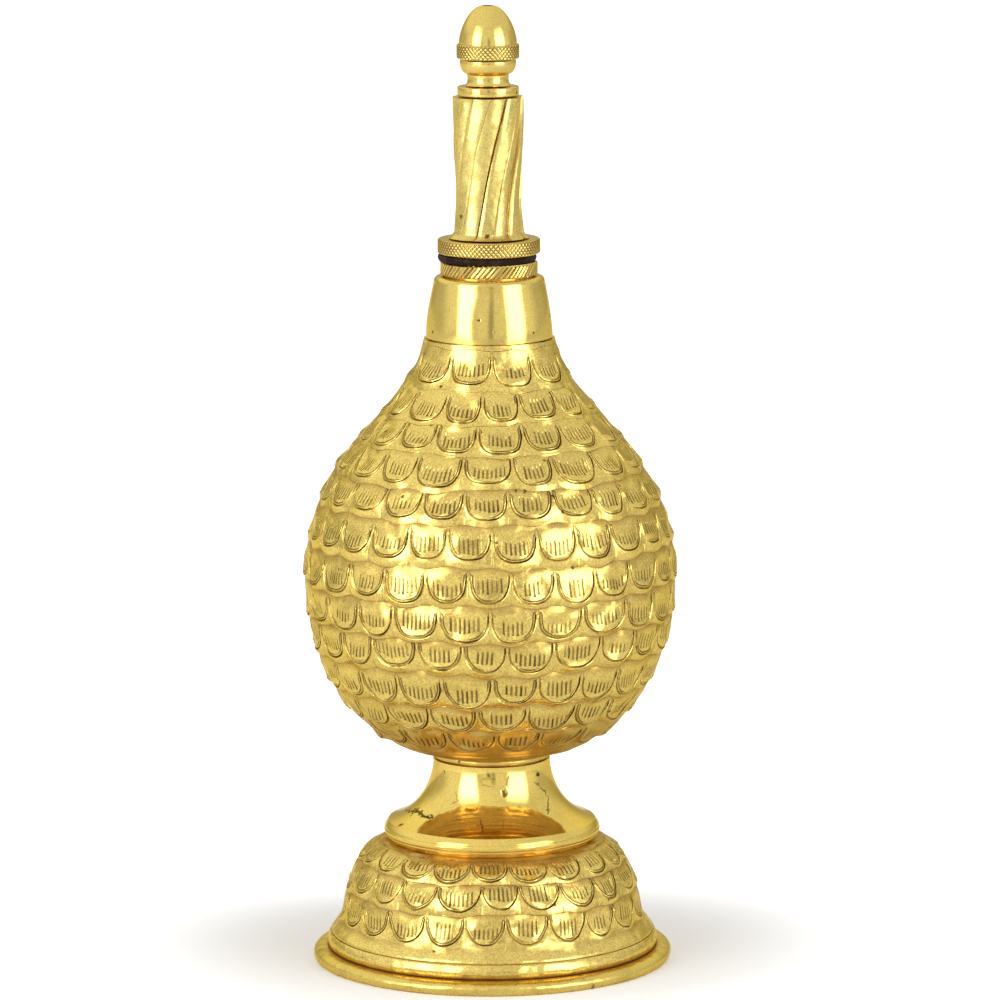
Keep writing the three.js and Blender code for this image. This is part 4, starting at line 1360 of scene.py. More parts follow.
class Palette:
    """All materials of the object, by look, and the slot that each look stands for."""

    def __init__(self) -> None:
        """Builds every finish."""
        effects = Effects()
        finishes = (
            BrassFinish(Look.POLISHED, Slot.POLISHED, roughness=0.08, tarnish=0.26, pit_share=0.06,
                        pit_size=500.0),
            BrassFinish(Look.SPUN, Slot.POLISHED, colour=(0.87, 0.64, 0.155), roughness=0.055, haze=0.5,
                        tarnish=0.26, pit_share=0.03, pit_size=260.0, marked=True),
            BrassFinish(Look.WORN, Slot.POLISHED, colour=(0.78, 0.59, 0.150), roughness=0.22, tarnish=0.46,
                        tarnish_size=110.0, painted_groove_shade=0.9, pit_share=0.08, pit_size=380.0, dents=0.0004,
                        dent_size=240.0),
            BrassFinish(Look.CHASED, Slot.CHASED, colour=(0.88, 0.665, 0.178), roughness=0.17, tarnish=0.25,
                        tarnish_size=80.0, painted_groove_shade=0.85, dents=0.0009, dent_size=180.0, grain=0.24,
                        chased=True),
            BrassFinish(Look.KNURLED, Slot.KNURLED, roughness=0.09, groove_rough=0.16, tarnish=0.28,
                        tarnish_size=140.0, painted_groove_shade=0.95),
            BrassFinish(Look.CAST, Slot.CAST, colour=(0.78, 0.62, 0.19), roughness=0.24, tarnish=0.30,
                        painted_groove_shade=0.9, pit_share=0.05, pit_size=300.0, dents=0.0004, dent_size=260.0,
                        grain=0.18),
            DustyFinish(Look.RUBBER, Slot.RUBBER, colour=(0.016, 0.008, 0.005), dust=(0.050, 0.030, 0.019),
                        dust_size=260.0, dust_amount=0.8, roughness=0.6, sheen=0.08, grain_depth=0.00005),
            DustyFinish(Look.STEEL, Slot.STEEL, colour=(0.42, 0.43, 0.44), dust=(0.20, 0.19, 0.17),
                        dust_size=240.0, dust_amount=0.7, roughness=0.36, metallic=1.0),
        )
        self.made = {finish.look: finish.build(effects) for finish in finishes}
        self.slots = {finish.look: finish.slot for finish in finishes}

    def dress(self, piece: Object, look: Look) -> None:
        """Gives a piece its finish.

        Args:
            piece: The piece.
            look: Its finish.
        """
        piece.data.materials.clear()
        piece.data.materials.append(self.made[look])


# Sub-assemblies


class SubAssembly:
    """What the sub-assemblies share: a palette and the way a piece is handed to the frame."""

    palette: Palette

    def fit(self, skin: Skin, node: str, look: Look, body: Body, sharp: float = 38) -> Object:
        """Makes a piece that stands for a CAD node.

        Args:
            skin: The piece's skin.
            node: The CAD node that it replaces.
            look: Its finish.
            body: The body that it rides on.
            sharp: The angle in degrees from which an edge stays sharp.

        Returns:
            The piece.
        """
        piece = skin.build(f"{node}_surface", sharp)
        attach(piece, body.value)
        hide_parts(node)
        self.palette.dress(piece, look)
        log.info("%s: %d faces", piece.name, len(piece.data.polygons))
        return piece

    def keep(self, node: str, look: Look) -> None:
        """Keeps a CAD node as it is, with its finish.

        Args:
            node: The CAD node.
            look: Its finish.
        """
        self.palette.dress(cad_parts[node], look)
        log.info("%s: kept from the frame", node)


@dataclass
class Foot(SubAssembly):
    """The base ring, the chased dome, the plain cone, the bead, and what holds them on the vessel."""

    palette: Palette
    seam: float = 0.05  # what is left to see of the gap between two soldered pieces
    rim_bore: float = 40.5
    rim_seam: tuple[float, ...] = (0.45, -0.1)  # out of the dome's lip, where the ledge's points lie
    rim_painted_shade: tuple[float, ...] = (0.1, 0.2, 0.8, 0.9)  # painted shade on the outline's last points, most under the dome's lip and in the bore
    rim_top_round: float = 2.6
    rim_bottom_round: float = 1.0
    skirt_lip: float = 3.0
    skirt_round: float = 0.5
    skirt_height: float = 8.5
    skirt_groove: float = 0.30
    groove_at: float = 2.8  # from the slope's lower end, in widths of the groove
    groove_shape: Table = (  # along the slope, out of it, painted shade
        (-2.4, 0.05, 0), (-1.3, 0.12, 0), (-0.6, -0.1, 0.2), (-0.1, -0.9, 0.8), (0.6, -0.2, 0.2),
        (1.5, 0.3, 0), (3.0, 0.2, 0),
    )
    skirt_uneven: float = 0.07
    lip_painted_shade: Table = ((0.1, 0.6), (0.95, 0.0))  # over its lower edge, painted shade
    skirt_plain: float = 0.5  # share of the skirt's slope that is left plain
    dome_wall: float = 1.1
    # painted shade on the dome's upper edge, under the cone
    dome_corner: float = 1.8  # how far the corner at the foot of its side is rounded
    dome_edge_painted_shade: float = 0.55
    dome_foot_radius: float = 39.1
    dome_top_radius: float = 28.6
    dome_side_handle: float = 14.4
    dome_top_handle: float = 0.7
    stud_hole: float = 4.3
    cone_wall: float = 1.2
    cone_top_radius: float = 15.3
    cone_lip_height: float = 4.6
    cone_lip_round: float = 1.25
    cone_top_handle: float = 3.5
    cone_lip_handle: float = 10.5
    cone_lip_slope: float = 17
    cone_lines: tuple[float, ...] = (0.30, 0.64)  # on its lip, as shares of the lip's height
    cone_line_wide: float = 0.045
    cone_line_deep: float = 0.20
    bead_round: float = 0.5
    bead_bore: float = 9.0
    # painted shade all over the bead between the vessel and the cone
    bead_painted_shade: float = 0.2
    chasing: Chasing = Chasing(
        rows=(ScaleRow(26.8, 20, -0.5, 4.8), ScaleRow(20.1, 21, 3.6, 6.0), ScaleRow(11.4, 22, -2.6, 6.4)),
        seed=60, first_edge=1.2, relief=0.9, band=0.9, scallop=0.5, ridge=0.26, tip=0.3, squareness=1.95,
        # painted shade: the top row darker and browner, under the cone's lip
        painted_shade=((27.0, 31.0), (0.0, 0.22)),
    )

    def build(self) -> None:
        """Builds and dresses the foot."""
        self.build_rim()
        self.build_dome()
        self.build_cone()
        self.build_bead()
        self.keep("foot_stud", Look.POLISHED)
        self.keep("foot_washer", Look.STEEL)
        self.keep("foot_nut", Look.STEEL)

    def build_rim(self) -> None:
        """The flat base ring with its rounded edge."""
        at = Extent.of("foot_rim")
        edge = (at.radius, (at.base + at.top) / 2)
        bottom = (at.radius - self.rim_bottom_round, at.base)
        top = (at.radius - self.rim_top_round, at.top)
        lip = Extent.of("foot_dome").radius
        seam = [(lip + out, at.top) for out in self.rim_seam]
        outline = np.vstack([
            [(self.rim_bore, at.base), bottom], quarter(bottom, edge, 6),
            quarter(top, edge, 9)[::-1][1:], [top], seam, [(self.rim_bore, at.top)],
        ])
        painted_shade = [*np.zeros(len(outline) - len(self.rim_painted_shade)), *self.rim_painted_shade]
        skin = turned(outline, FINE_COLUMNS, wobble=0.06, seed=1, sunk=painted_shade)
        self.fit(skin, "foot_rim", Look.WORN, Body.BOTTLE)

    def dome_side(self, steps: int) -> tuple[Array, Array, Array]:
        """The dome's outer outline in three parts.

        Args:
            steps: How many points the curved side gets.

        Returns:
            The rounded lip from the bottom up, the foot of the curved side, and the side.
        """
        at = Extent.of("foot_dome")
        base = Extent.of("foot_rim").top + self.seam
        lip = rounded_edge(at.radius, self.skirt_round, base, at.base + self.skirt_lip - base, 10)
        foot = np.array([self.dome_foot_radius, at.base + self.skirt_height])
        edge = np.array([self.dome_top_radius, at.top])
        side = bend(foot, foot + (0, self.dome_side_handle), edge + (self.dome_top_handle, 0), edge, steps)
        return lip, foot, side

    def groove(self, start: Array, end: Array) -> Array:
        """The plain part of the skirt's slope with its turned groove.

        Args:
            start: Its lower end.
            end: Its upper end.

        Returns:
            Radius, height and painted shade of the points after its lower end, up to its upper end.
        """
        along = (end - start) / np.linalg.norm(end - start)
        out = np.array([along[1], -along[0]])
        middle = start + along * self.skirt_groove * self.groove_at
        points = [[*(middle + (along * step + out * lift) * self.skirt_groove), shade_amount]
                  for step, lift, shade_amount in self.groove_shape]
        return np.array([*points, [*end, 0.1]])

    def build_dome(self) -> None:
        """The hollow dome with three rows of scales and a grooved skirt."""
        at = Extent.of("foot_dome")
        lip, foot, side = self.dome_side(60)
        plain = lip[-1] + (foot - lip[-1]) * self.skirt_plain
        corner = soft_corner(plain, foot, side[6], self.dome_corner, 6)
        outline = Outline(np.vstack([plain[None, :], corner, side[5:]])[::-1])
        skin = Skin()
        first, last = ChasedSkin(skin, outline, self.chasing).lay()
        edge = skin.even(self.dome_top_radius, at.top, sunk=self.dome_edge_painted_shade)
        plate = skin.even(self.stud_hole, at.top)
        under = skin.even(self.stud_hole, at.top - self.dome_wall)
        skin.zipper(edge, first)
        skin.join(plate, edge)
        skin.join(under, plate)
        inner = inset(np.vstack([lip[-1], foot, side[::5]]), self.dome_wall)
        inner[-1] = (self.dome_top_radius - self.dome_wall / 2, at.top - self.dome_wall)
        above = under
        for radius, height in [*inner[::-1], (lip[0][0] - self.dome_wall, lip[0][1])]:
            ring = skin.even(radius, height)
            skin.join(ring, above)
            above = ring
        turns = evenly(FINE_COLUMNS)
        stray = Unevenness(62, self.skirt_uneven)
        seam = np.interp(lip[:, 1] - lip[0, 1], *self.lip_painted_shade)
        for radius, height, shade_amount in [*np.column_stack([lip, seam]), *self.groove(lip[-1], plain)]:
            ring = skin.ring(turns, radius + stray.at(turns, height), height, shade_amount)
            skin.join(above, ring)
            above = ring
        skin.zipper(last, above)
        self.fit(skin, "foot_dome", Look.CHASED, Body.BOTTLE)

    def build_cone(self) -> None:
        """The plain concave cone with its rounded lip."""
        at = Extent.of("foot_cone")
        base = Extent.of("foot_dome").top + self.seam
        top = Extent.of("junction_ring").base - self.seam
        lip = rounded_edge(at.radius, self.cone_lip_round, base, at.base + self.cone_lip_height - base, 24)
        up = (lip[:, 1] - base) / self.cone_lip_height
        for share in self.cone_lines:
            lip[:, 0] -= self.cone_line_deep * np.exp(-((up - share) / self.cone_line_wide) ** 2)
        start, end = lip[-1], np.array([self.cone_top_radius, at.top])
        slope = math.radians(self.cone_lip_slope)
        reach = self.cone_lip_handle * np.array([-math.cos(slope), math.sin(slope)])
        handles = (start, start + reach, end - (0, self.cone_top_handle), end)
        side = bend(*handles, 30)
        inside = inset(np.vstack([start, bend(*handles, 12)]), self.cone_wall)
        inside[0] = (lip[0][0] - self.cone_wall, base)
        inside[-1] = (end[0] - self.cone_wall, at.top - self.cone_wall)
        plate = [(end[0], top), (self.stud_hole, top), (self.stud_hole, at.top - self.cone_wall)]
        outline = np.vstack([lip, side, plate, inside[::-1]])
        self.fit(turned(outline, 160, wobble=0.05, seed=3), "foot_cone", Look.SPUN, Body.BOTTLE, sharp=30)

    def build_bead(self) -> None:
        """The bead between the cone and the vessel."""
        at = Extent.of("junction_ring")
        top = Extent.of("bulb").base - self.seam
        edge = rounded_edge(at.radius, self.bead_round, at.base, top - at.base, 10)
        outline = np.vstack([(self.bead_bore, at.base), edge, (self.bead_bore, top)])
        skin = turned(outline, 128, wobble=0.10, seed=5, sunk=self.bead_painted_shade)
        self.fit(skin, "junction_ring", Look.WORN, Body.BOTTLE)


@dataclass
class Vessel(SubAssembly):
    """The chased vessel, its plain neck and the neck ring."""

    palette: Palette
    wall: float = 1.2
    seat_radius: float = 16.5
    belly_radius: float = 48.4
    belly_height: float = 45.7
    mouth_radius: float = 17.0
    seat_handle: float = 18.2
    foot_lines: float = 0.13  # how far the turned lines on the underside stand up and down
    foot_start: float = 3.2  # from the bottoms of the last row's U's to the first of them
    foot_rings: int = 19
    foot_painted_shade: tuple[float, float] = (0.5, 0.64)  # painted shade of one line and the next
    seat_rise: float = 2.6
    under_handle: float = 24.2
    over_handle: float = 35.2
    mouth_spread: float = 3.7
    mouth_handle: float = 20.1
    neck_wall: float = 1.2
    neck_foot_radius: float = 16.4
    neck_top_radius: float = 14.4
    neck_round: float = 1.5
    neck_foot_handle: float = 5.4
    neck_top_handle: float = 3.8
    neck_top_spread: float = 0.8
    fit_gap: float = 0.3
    sleeve_radius: float = 11.7
    thread_radius: float = 10.1
    thread_depth: float = 0.8
    thread_pitch: float = 1.5
    chasing: Chasing = Chasing(
        rows=(
            ScaleRow(154.3, 10, 19.4, 7.0), ScaleRow(145.7, 15, 7.2, 7.2), ScaleRow(138.7, 17, 5.9, 7.0),
            ScaleRow(131.3, 19, -1.2, 7.0), ScaleRow(122.9, 23, -1.0), ScaleRow(113.4, 26, -6.0),
            ScaleRow(102.4, 26, 0.1), ScaleRow(93.2, 24, -7.5), ScaleRow(84.6, 24, -1.6),
            ScaleRow(75.0, 23, -8.1), ScaleRow(67.4, 20, 4.2), ScaleRow(61.0, 17, -9.2),
        ),
        seed=20, first_edge=1.4, relief=1.2, thumb=0.20, lean=0.085,
        # painted shade: the vessel darker and browner towards its bottom
        painted_shade=((58.0, 66.0, 74.0), (0.6, 0.3, 0.0)),
        strength=((123.0, 131.0, 139.0), (1.0, 0.65, 0.35)), crisp=((93.0, 113.0), (0.1, 1.0)),
    )

    def build(self) -> None:
        """Builds and dresses the vessel."""
        self.build_bulb()
        self.build_neck()
        self.build_ring()

    def build_bulb(self) -> None:
        """The pear-shaped vessel with twelve rows of scales."""
        at = Extent.of("bulb")
        belly_level = at.base + self.belly_height
        seat, mouth = (self.seat_radius, at.base), (self.mouth_radius, at.top)
        belly = (self.belly_radius, belly_level)
        lower = bend(seat, (self.seat_radius + self.seat_handle, at.base + self.seat_rise),
                     (self.belly_radius, belly_level - self.under_handle), belly, 90)
        upper = bend(belly, (self.belly_radius, belly_level + self.over_handle),
                     (self.mouth_radius + self.mouth_spread, at.top - self.mouth_handle), mouth, 90)
        side = np.vstack([seat, lower, upper])
        outline = Outline(side[::-1])
        skin = Skin()
        first, last = ChasedSkin(skin, outline, self.chasing).lay()
        rim = skin.even(self.mouth_radius, at.top)
        skin.zipper(rim, first)
        inner = inset(side, self.wall)[::9]
        inner[0] = (self.seat_radius, at.base + self.wall)
        inner = np.vstack([inner, (self.mouth_radius - self.wall, at.top)])
        above = rim
        for radius, height in inner[::-1]:
            ring = skin.even(radius, height, COLUMNS if above is rim else BORE_COLUMNS)
            skin.join(ring, above)
            above = ring
        skin.close(above, at.base + self.wall)
        below = last
        foot_start = outline.length_at(self.chasing.rows[-1].level) + self.foot_start
        turns = evenly(COLUMNS)
        stray = Unevenness(24, 0.10, waves=6, most=5, steep=2.5)
        for number, length in enumerate(np.linspace(foot_start, outline.total, self.foot_rings)):
            left = self.foot_rings - 1 - number
            lift = self.foot_lines * (number % 3 - 1) if left > 0 else 0.0
            lift = lift + (stray.at(turns, length) if left > 1 else np.zeros(COLUMNS))
            place = outline.place(np.full(COLUMNS, length), lift)
            ring = skin.ring(turns, *place, self.foot_painted_shade[number % 2])
            skin.join(below, ring)
            below = ring
        skin.close(below, at.base)
        self.fit(skin, "bulb", Look.CHASED, Body.BOTTLE)

    def build_neck(self) -> None:
        """The plain neck, with the spigot that sits in the vessel's mouth."""
        at = Extent.of("neck_shell")
        base = Extent.of("bulb").top + self.fit_gap
        foot = (self.neck_foot_radius, base)
        shoulder = (self.neck_top_radius, at.top - self.neck_round)
        side = bend(foot, (foot[0], foot[1] + self.neck_foot_handle),
                    (shoulder[0] + self.neck_top_spread, shoulder[1] - self.neck_top_handle), shoulder, 24)
        top = (self.neck_top_radius - self.neck_round, at.top)
        hole = self.sleeve_radius + self.fit_gap
        spigot = self.mouth_radius - self.wall - self.fit_gap
        bore = spigot - self.neck_wall
        under = (shoulder[0] - self.neck_wall, shoulder[1] - self.neck_wall / 2)
        outline = np.vstack([
            [foot], side, quarter(top, shoulder, 9)[::-1][1:],
            [top, (hole, at.top), (hole, at.top - self.neck_wall), under],
            [(bore, base), (bore, at.base), (spigot, at.base), (spigot, base)],
        ])
        self.fit(turned(outline, 160, wobble=0.06, seed=9), "neck_shell", Look.POLISHED, Body.BOTTLE)

    def build_ring(self) -> None:
        """The neck ring with its diagonal knurl and the threaded sleeve."""
        at = Extent.of("neck_ring")
        base = Extent.of("neck_shell").top + self.fit_gap
        sleeve = [(self.sleeve_radius, at.base), (self.sleeve_radius, base)]
        edge = KnurledEdge(at.radius, base, at.top, Knurl.DIAGONAL, teeth=60, depth=0.50)
        skin = Skin()
        rings = [skin.even(radius, height) for radius, height in sleeve]
        rings += edge.lay(skin)
        rings += Thread(self.thread_radius, self.thread_depth, self.thread_pitch, at.base, at.top,
                        female=True).lay(skin)
        skin.loop(rings)
        self.fit(skin, "neck_ring", Look.KNURLED, Body.BOTTLE)


@dataclass(frozen=True)
class KnurledEdge:
    """A knurled edge of a turned ring, between its two flat faces."""

    radius: float
    base: float
    top: float
    pattern: Knurl
    teeth: int
    depth: float
    flat: float = 0.3  # share of a tooth that keeps its full height
    chamfer: float = 0.35
    per_tooth: int = 4  # columns, and rings, that a tooth gets
    steepness: float = 1.15  # a tooth's height, as a share of its width
    deep: tuple[float, float] = (0.55, 1.15)  # least and greatest share of the depth in a diagonal cut
    brim: float = 0.02  # how far the corner of a flat face is drawn in

    def lay(self, skin: Skin) -> list[Ring]:
        """Lays the edge from its lower face up.

        Args:
            skin: The skin that the rings go into.

        Returns:
            The rings, plain at both ends.
        """
        columns = self.teeth * self.per_tooth
        turns = evenly(columns)
        pitch = FULL_TURN * self.radius / self.teeth
        rise = pitch * self.steepness
        low, high = self.base + self.chamfer, self.top - self.chamfer
        steps = max(4, round((high - low) / (rise / self.per_tooth)))
        lot = np.random.default_rng(SEED + self.teeth).uniform(*self.deep, self.teeth)
        corner = self.radius - self.chamfer
        rings = [skin.even(corner - self.depth, self.base), skin.ring(turns, corner, self.base + self.brim)]
        for height in np.linspace(low, high, steps + 1):
            across = turns * self.teeth / FULL_TURN
            up = (height - low) / rise
            one = np.abs((across - up) % 1 * 2 - 1)
            other = np.abs((across + up) % 1 * 2 - 1)
            if self.pattern is Knurl.DIAGONAL:
                cut, own = one, lot[np.floor(across - up + 0.5).astype(int) % self.teeth]
            else:
                cut, own = np.maximum(one, other), 1.0
            sunk = np.clip((cut - self.flat) / (1 - self.flat), 0, 1) * own
            # The grooves get painted shade from the sunk mark
            rings.append(skin.ring(turns, self.radius - self.depth * sunk, height, np.clip(sunk * 1.5, 0, 1)))
        rings += [skin.ring(turns, corner, self.top - self.brim), skin.even(corner - self.depth, self.top)]
        return rings


@dataclass(frozen=True)
class Thread:
    """A turned thread: a male one from its lower to its upper end, a female one from its upper end down."""

    crest: float
    depth: float
    pitch: float
    base: float
    top: float
    female: bool = False
    columns: int = COLUMNS
    rings_per_turn: int = 10
    steepness: float = 2.38  # of its sides

    def lay(self, skin: Skin) -> list[Ring]:
        """Lays the thread.

        Args:
            skin: The skin that the rings go into.

        Returns:
            The rings.
        """
        turns = evenly(self.columns)
        steps = max(8, round((self.top - self.base) / self.pitch * self.rings_per_turn))
        heights = np.linspace(self.base, self.top, steps + 1)
        rings = []
        for height in heights[::-1] if self.female else heights:
            phase = (height / self.pitch - turns / FULL_TURN) % 1
            ridge = np.clip((0.5 - np.abs(phase - 0.5)) * self.steepness, 0, 1)
            run_out = min(1.0, (height - self.base) / self.pitch * 2, (self.top - height) / self.pitch * 2)
            share = 1 - (1 - ridge) * max(0.0, run_out) if self.female else ridge * max(0.0, run_out)
            # The roots get painted shade from the sunk mark
            rings.append(skin.ring(turns, self.crest - self.depth * (1 - share), height, 0.5 * (1 - share)))
        return rings


@dataclass
class Spout(SubAssembly):
    """The washer, and the spout that screws into the neck: flange, fluted stem, collar and head."""

    palette: Palette
    gasket_shift: float = 0.5
    gasket_bore: float = 10.6
    gasket_round: float = 0.35
    gasket_gap: float = 0.04  # to the ring and the flange
    plug_radius: float = 9.8
    plug_depth: float = 0.8
    plug_pitch: float = 1.5
    bore: float = 3.9
    flange_height: float = 3.8
    stem_radius: float = 9.15
    stem_waist: float = 0.7
    stem_waist_height: float = 10.0
    stem_waist_reach: float = 20.0
    stem_flutes: Table = (  # degrees from the front to a sharp side, and its depth
        (-82, 0.65), (-22, 1.10), (34, 1.00), (75, 0.75), (116, 0.95), (157, 0.65), (198, 0.90), (238, 0.80),
    )
    lobe: Table = (  # across a lobe, how deep, how much painted shade
        (0.0, 1.0, 1.0), (0.016, 0.90, 0.6), (0.04, 0.18, 0), (0.10, 0.0, 0), (0.17, -0.02, 0),
        (0.24, 0.06, 0), (0.32, 0.07, 0), (0.42, 0.06, 0), (0.49, 0.08, 0), (0.51, 0.19, 0.72),
        (0.535, 0.12, 0.2), (0.58, 0.10, 0), (0.66, 0.20, 0), (0.75, 0.33, 0), (0.83, 0.48, 0),
        (0.90, 0.62, 0), (0.96, 0.82, 0), (0.983, 0.94, 0.1),
    )
    stem_fade: Table = ((0.15, 1.4), (0.55, 1.2))  # share of the flutes' depth at each end, and its reach
    stem_uneven: float = 0.05
    stem_top_cut: float = 1.7  # how far its top face lies inside the lobes
    stem_twist: float = 55
    stem_lag: float = 0.08  # how far the twist lags behind in the middle
    stem_flare: float = 1.3
    stem_flare_height: float = 1.6
    collar_round: float = 0.35
    head_neck_radius: float = 5.4
    head_neck_height: float = 2.9
    head_neck: Table = ((0.55, 0), (0.30, 0.25), (0, 0.7), (-0.1, 1.7))  # out of its radius, over its foot
    cup_height: float = 3.6
    cup_radius: float = 7.3
    head_bore: float = 3.1
    spigot_radius: float = 5.2
    spigot_depth: float = 0.6
    spigot_pitch: float = 1.0

    def build(self) -> None:
        """Builds and dresses the washer and the spout."""
        self.build_gasket()
        self.build_flange()
        self.build_stem()
        self.build_collar()
        self.build_head()

    def build_gasket(self) -> None:
        """The black washer, squeezed so that its edge bulges, and a little off the axis."""
        at = Extent.of("gasket")
        gap, thick = self.gasket_gap, at.top - at.base
        edge = rounded_edge(at.radius, self.gasket_round, at.base + gap, thick - 2 * gap, 8)
        outline = np.vstack([(self.gasket_bore, at.base + gap), edge, (self.gasket_bore, at.top - gap)])
        piece = self.fit(turned(outline, 128, wobble=0.10, seed=31), "gasket", Look.RUBBER, Body.WASHER)
        for vertex in piece.data.vertices:
            vertex.co.x -= self.gasket_shift * MM

    def build_flange(self) -> None:
        """The knurled flange with its threaded, bored plug."""
        at = Extent.of("spout_flange")
        base = at.top - self.flange_height
        skin = Skin()
        rings = [skin.even(self.bore, at.base, BORE_COLUMNS)]
        rings += Thread(self.plug_radius, self.plug_depth, self.plug_pitch, at.base, base).lay(skin)
        edge = KnurledEdge(at.radius, base, at.top, Knurl.DIAMOND, teeth=72, depth=0.32, flat=0.52)
        rings += edge.lay(skin)
        rings.append(skin.even(self.bore, at.top, BORE_COLUMNS))
        skin.loop(rings)
        self.fit(skin, "spout_flange", Look.KNURLED, Body.SPOUT)

    def stem_outline(self, height: float) -> float:
        """The stem's radius before its flutes.

        Args:
            height: The height above its foot.

        Returns:
            The radius.
        """
        reach = self.stem_waist_height if height < self.stem_waist_height else self.stem_waist_reach
        away = min(1.0, abs(height - self.stem_waist_height) / reach)
        flare = max(0.0, 1 - height / self.stem_flare_height)
        waist = self.stem_waist * math.cos(math.pi / 2 * away) ** 2
        return self.stem_radius - waist + self.stem_flare * flare**2

    def build_stem(self) -> None:
        """The cast stem with eight spiral lobes, each with one sharp side."""
        at = Extent.of("spout_stem")
        tall = at.top - at.base
        section = np.array(self.lobe)
        starts = np.radians([start for start, _ in self.stem_flutes])
        widths = np.diff(np.append(starts, starts[0] + FULL_TURN))
        lot = np.repeat([depth for _, depth in self.stem_flutes], len(section))
        base_turns = (starts[:, None] + widths[:, None] * section[:, 0]).ravel()
        sunk = np.tile(section[:, 1], len(self.stem_flutes))
        # Painted shade along the sharp sides and the creases of the lobes
        painted_shade = np.tile(section[:, 2], len(self.stem_flutes)) * np.clip(lot, 0.75, 1)
        stray = Unevenness(42, self.stem_uneven)
        flare = np.linspace(0, self.stem_flare_height, 7)
        heights = np.concatenate([flare, np.linspace(self.stem_flare_height, tall, 54)[1:]])
        skin = Skin()
        rings = [skin.even(self.bore, at.base, STEM_BORE_COLUMNS)]
        for height in heights:
            lean = height / tall
            twist = math.radians(self.stem_twist) * (lean - self.stem_lag * math.sin(math.pi * lean))
            ends = zip(self.stem_fade, (height, tall - height))
            fade = math.prod(min(1.0, least + away / reach) for (least, reach), away in ends)
            turns = base_turns + twist
            radius = self.stem_outline(height) - lot * sunk * fade + stray.at(turns, height)
            rings.append(skin.ring(turns, radius, at.base + height, painted_shade * fade))
        rings.append(skin.ring(rings[-1].turns, self.stem_radius - self.stem_top_cut, at.top))
        rings.append(skin.even(self.bore, at.top, STEM_BORE_COLUMNS))
        skin.loop(rings)
        self.fit(skin, "spout_stem", Look.CAST, Body.SPOUT, sharp=34)

    def build_collar(self) -> None:
        """The flat ring on top of the stem."""
        at = Extent.of("spout_collar")
        low, high = (at.radius, at.base), (at.radius, at.top)
        outline = np.vstack([
            [(self.bore, at.base)], soft_corner((self.bore, at.base), low, high, self.collar_round),
            soft_corner(low, high, (self.bore, at.top), self.collar_round), [(self.bore, at.top)],
        ])
        self.fit(turned(outline, COLUMNS, wobble=0.04, seed=33), "spout_collar", Look.POLISHED, Body.SPOUT)

    def build_head(self) -> None:
        """The small neck and cup with the threaded spigot for the cap."""
        at = Extent.of("spout_head")
        cup_base = at.base + self.head_neck_height
        cup_top = cup_base + self.cup_height
        foot = (self.head_neck_radius, cup_base)
        skin = Skin()
        neck = [(self.head_neck_radius + out, at.base + up) for out, up in self.head_neck]
        lip = [(self.cup_radius - 0.15, cup_top - 0.05), (self.spigot_radius, cup_top)]
        cup = quarter(foot, (self.cup_radius, cup_top - 0.4), 12)
        neck = [(self.head_bore, at.base), *neck, (self.head_neck_radius, cup_base - 0.2)]
        rings = [skin.even(radius, height) for radius, height in [*neck, *cup, *lip]]
        rings += Thread(self.spigot_radius, self.spigot_depth, self.spigot_pitch, cup_top, at.top).lay(skin)
        rings.append(skin.even(self.head_bore, at.top))
        skin.loop(rings)
        self.fit(skin, "spout_head", Look.POLISHED, Body.SPOUT)


@dataclass
class Cap(SubAssembly):
    """The acorn cap and the seal inside it."""

    palette: Palette
    band_height: float = 3.8
    acorn_radius: float = 7.5
    side_handle: float = 3.8
    tip_handle: float = 3.1
    tip_drop: float = 0.3
    tip_radius: float = 1.5
    tip_hole: float = 0.9
    tip_bevel: Table = ((0.15, 0.4), (0.0, 0.6))  # out of the hole, down from the tip
    tip_thickness: float = 3.0
    tip_painted_shade: tuple[float, float] = (0.9, 0.95)  # painted shade round the hole and in it
    seal_radius: float = 4.425
    seal_bore: float = 3.1
    spigot_radius: float = 5.5
    spigot_depth: float = 0.6
    spigot_pitch: float = 1.0
    gap: float = 0.3

    def build(self) -> None:
        """Builds and dresses the cap."""
        self.build_cap()
        self.keep("cap_seal", Look.RUBBER)

    def build_cap(self) -> None:
        """The cap: a knurled band, a pointed dome with a hole in its tip, and a threaded hollow."""
        at, seal = Extent.of("sprinkler_cap"), Extent.of("cap_seal")
        band_top = at.base + self.band_height
        start, tip = (self.acorn_radius, band_top), (self.tip_radius, at.top)
        acorn = bend(start, (start[0], start[1] + self.side_handle),
                     (self.tip_radius + self.tip_handle, at.top - self.tip_drop), tip, 28)
        skin = Skin()
        edge = KnurledEdge(at.radius, at.base, band_top, Knurl.DIAMOND, teeth=46, depth=0.32, flat=0.52)
        rings = edge.lay(skin)
        outside = [(self.acorn_radius, band_top + 0.02), *acorn]
        rings += [skin.even(radius, height) for radius, height in outside[:-1]]
        rings.append(skin.even(*outside[-1], sunk=self.tip_painted_shade[0]))
        bevel = [(self.tip_hole + out, at.top - down) for out, down in self.tip_bevel]
        rings.append(skin.even(*bevel[0], HOLE_COLUMNS, self.tip_painted_shade[1]))
        ceiling = seal.top + self.gap
        seat = self.seal_radius + self.gap
        inside = [bevel[1], (self.tip_hole, at.top - self.tip_thickness),
                  (self.seal_bore, ceiling), (seat, ceiling), (seat, seal.base - self.gap)]
        rings += [skin.even(radius, height, HOLE_COLUMNS) for radius, height in inside]
        rings += Thread(self.spigot_radius, self.spigot_depth, self.spigot_pitch, at.base,
                        seal.base - self.gap, female=True).lay(skin)
        skin.loop(rings)
        self.fit(skin, "sprinkler_cap", Look.KNURLED, Body.CAP)


# Studio


@dataclass(frozen=True)
class Softbox:
    """A tall softbox: its turn from the front and its height, size and power."""

    turn: float
    height: float
    wide: float
    tall: float
    watts: float
    distance: float = 1.3


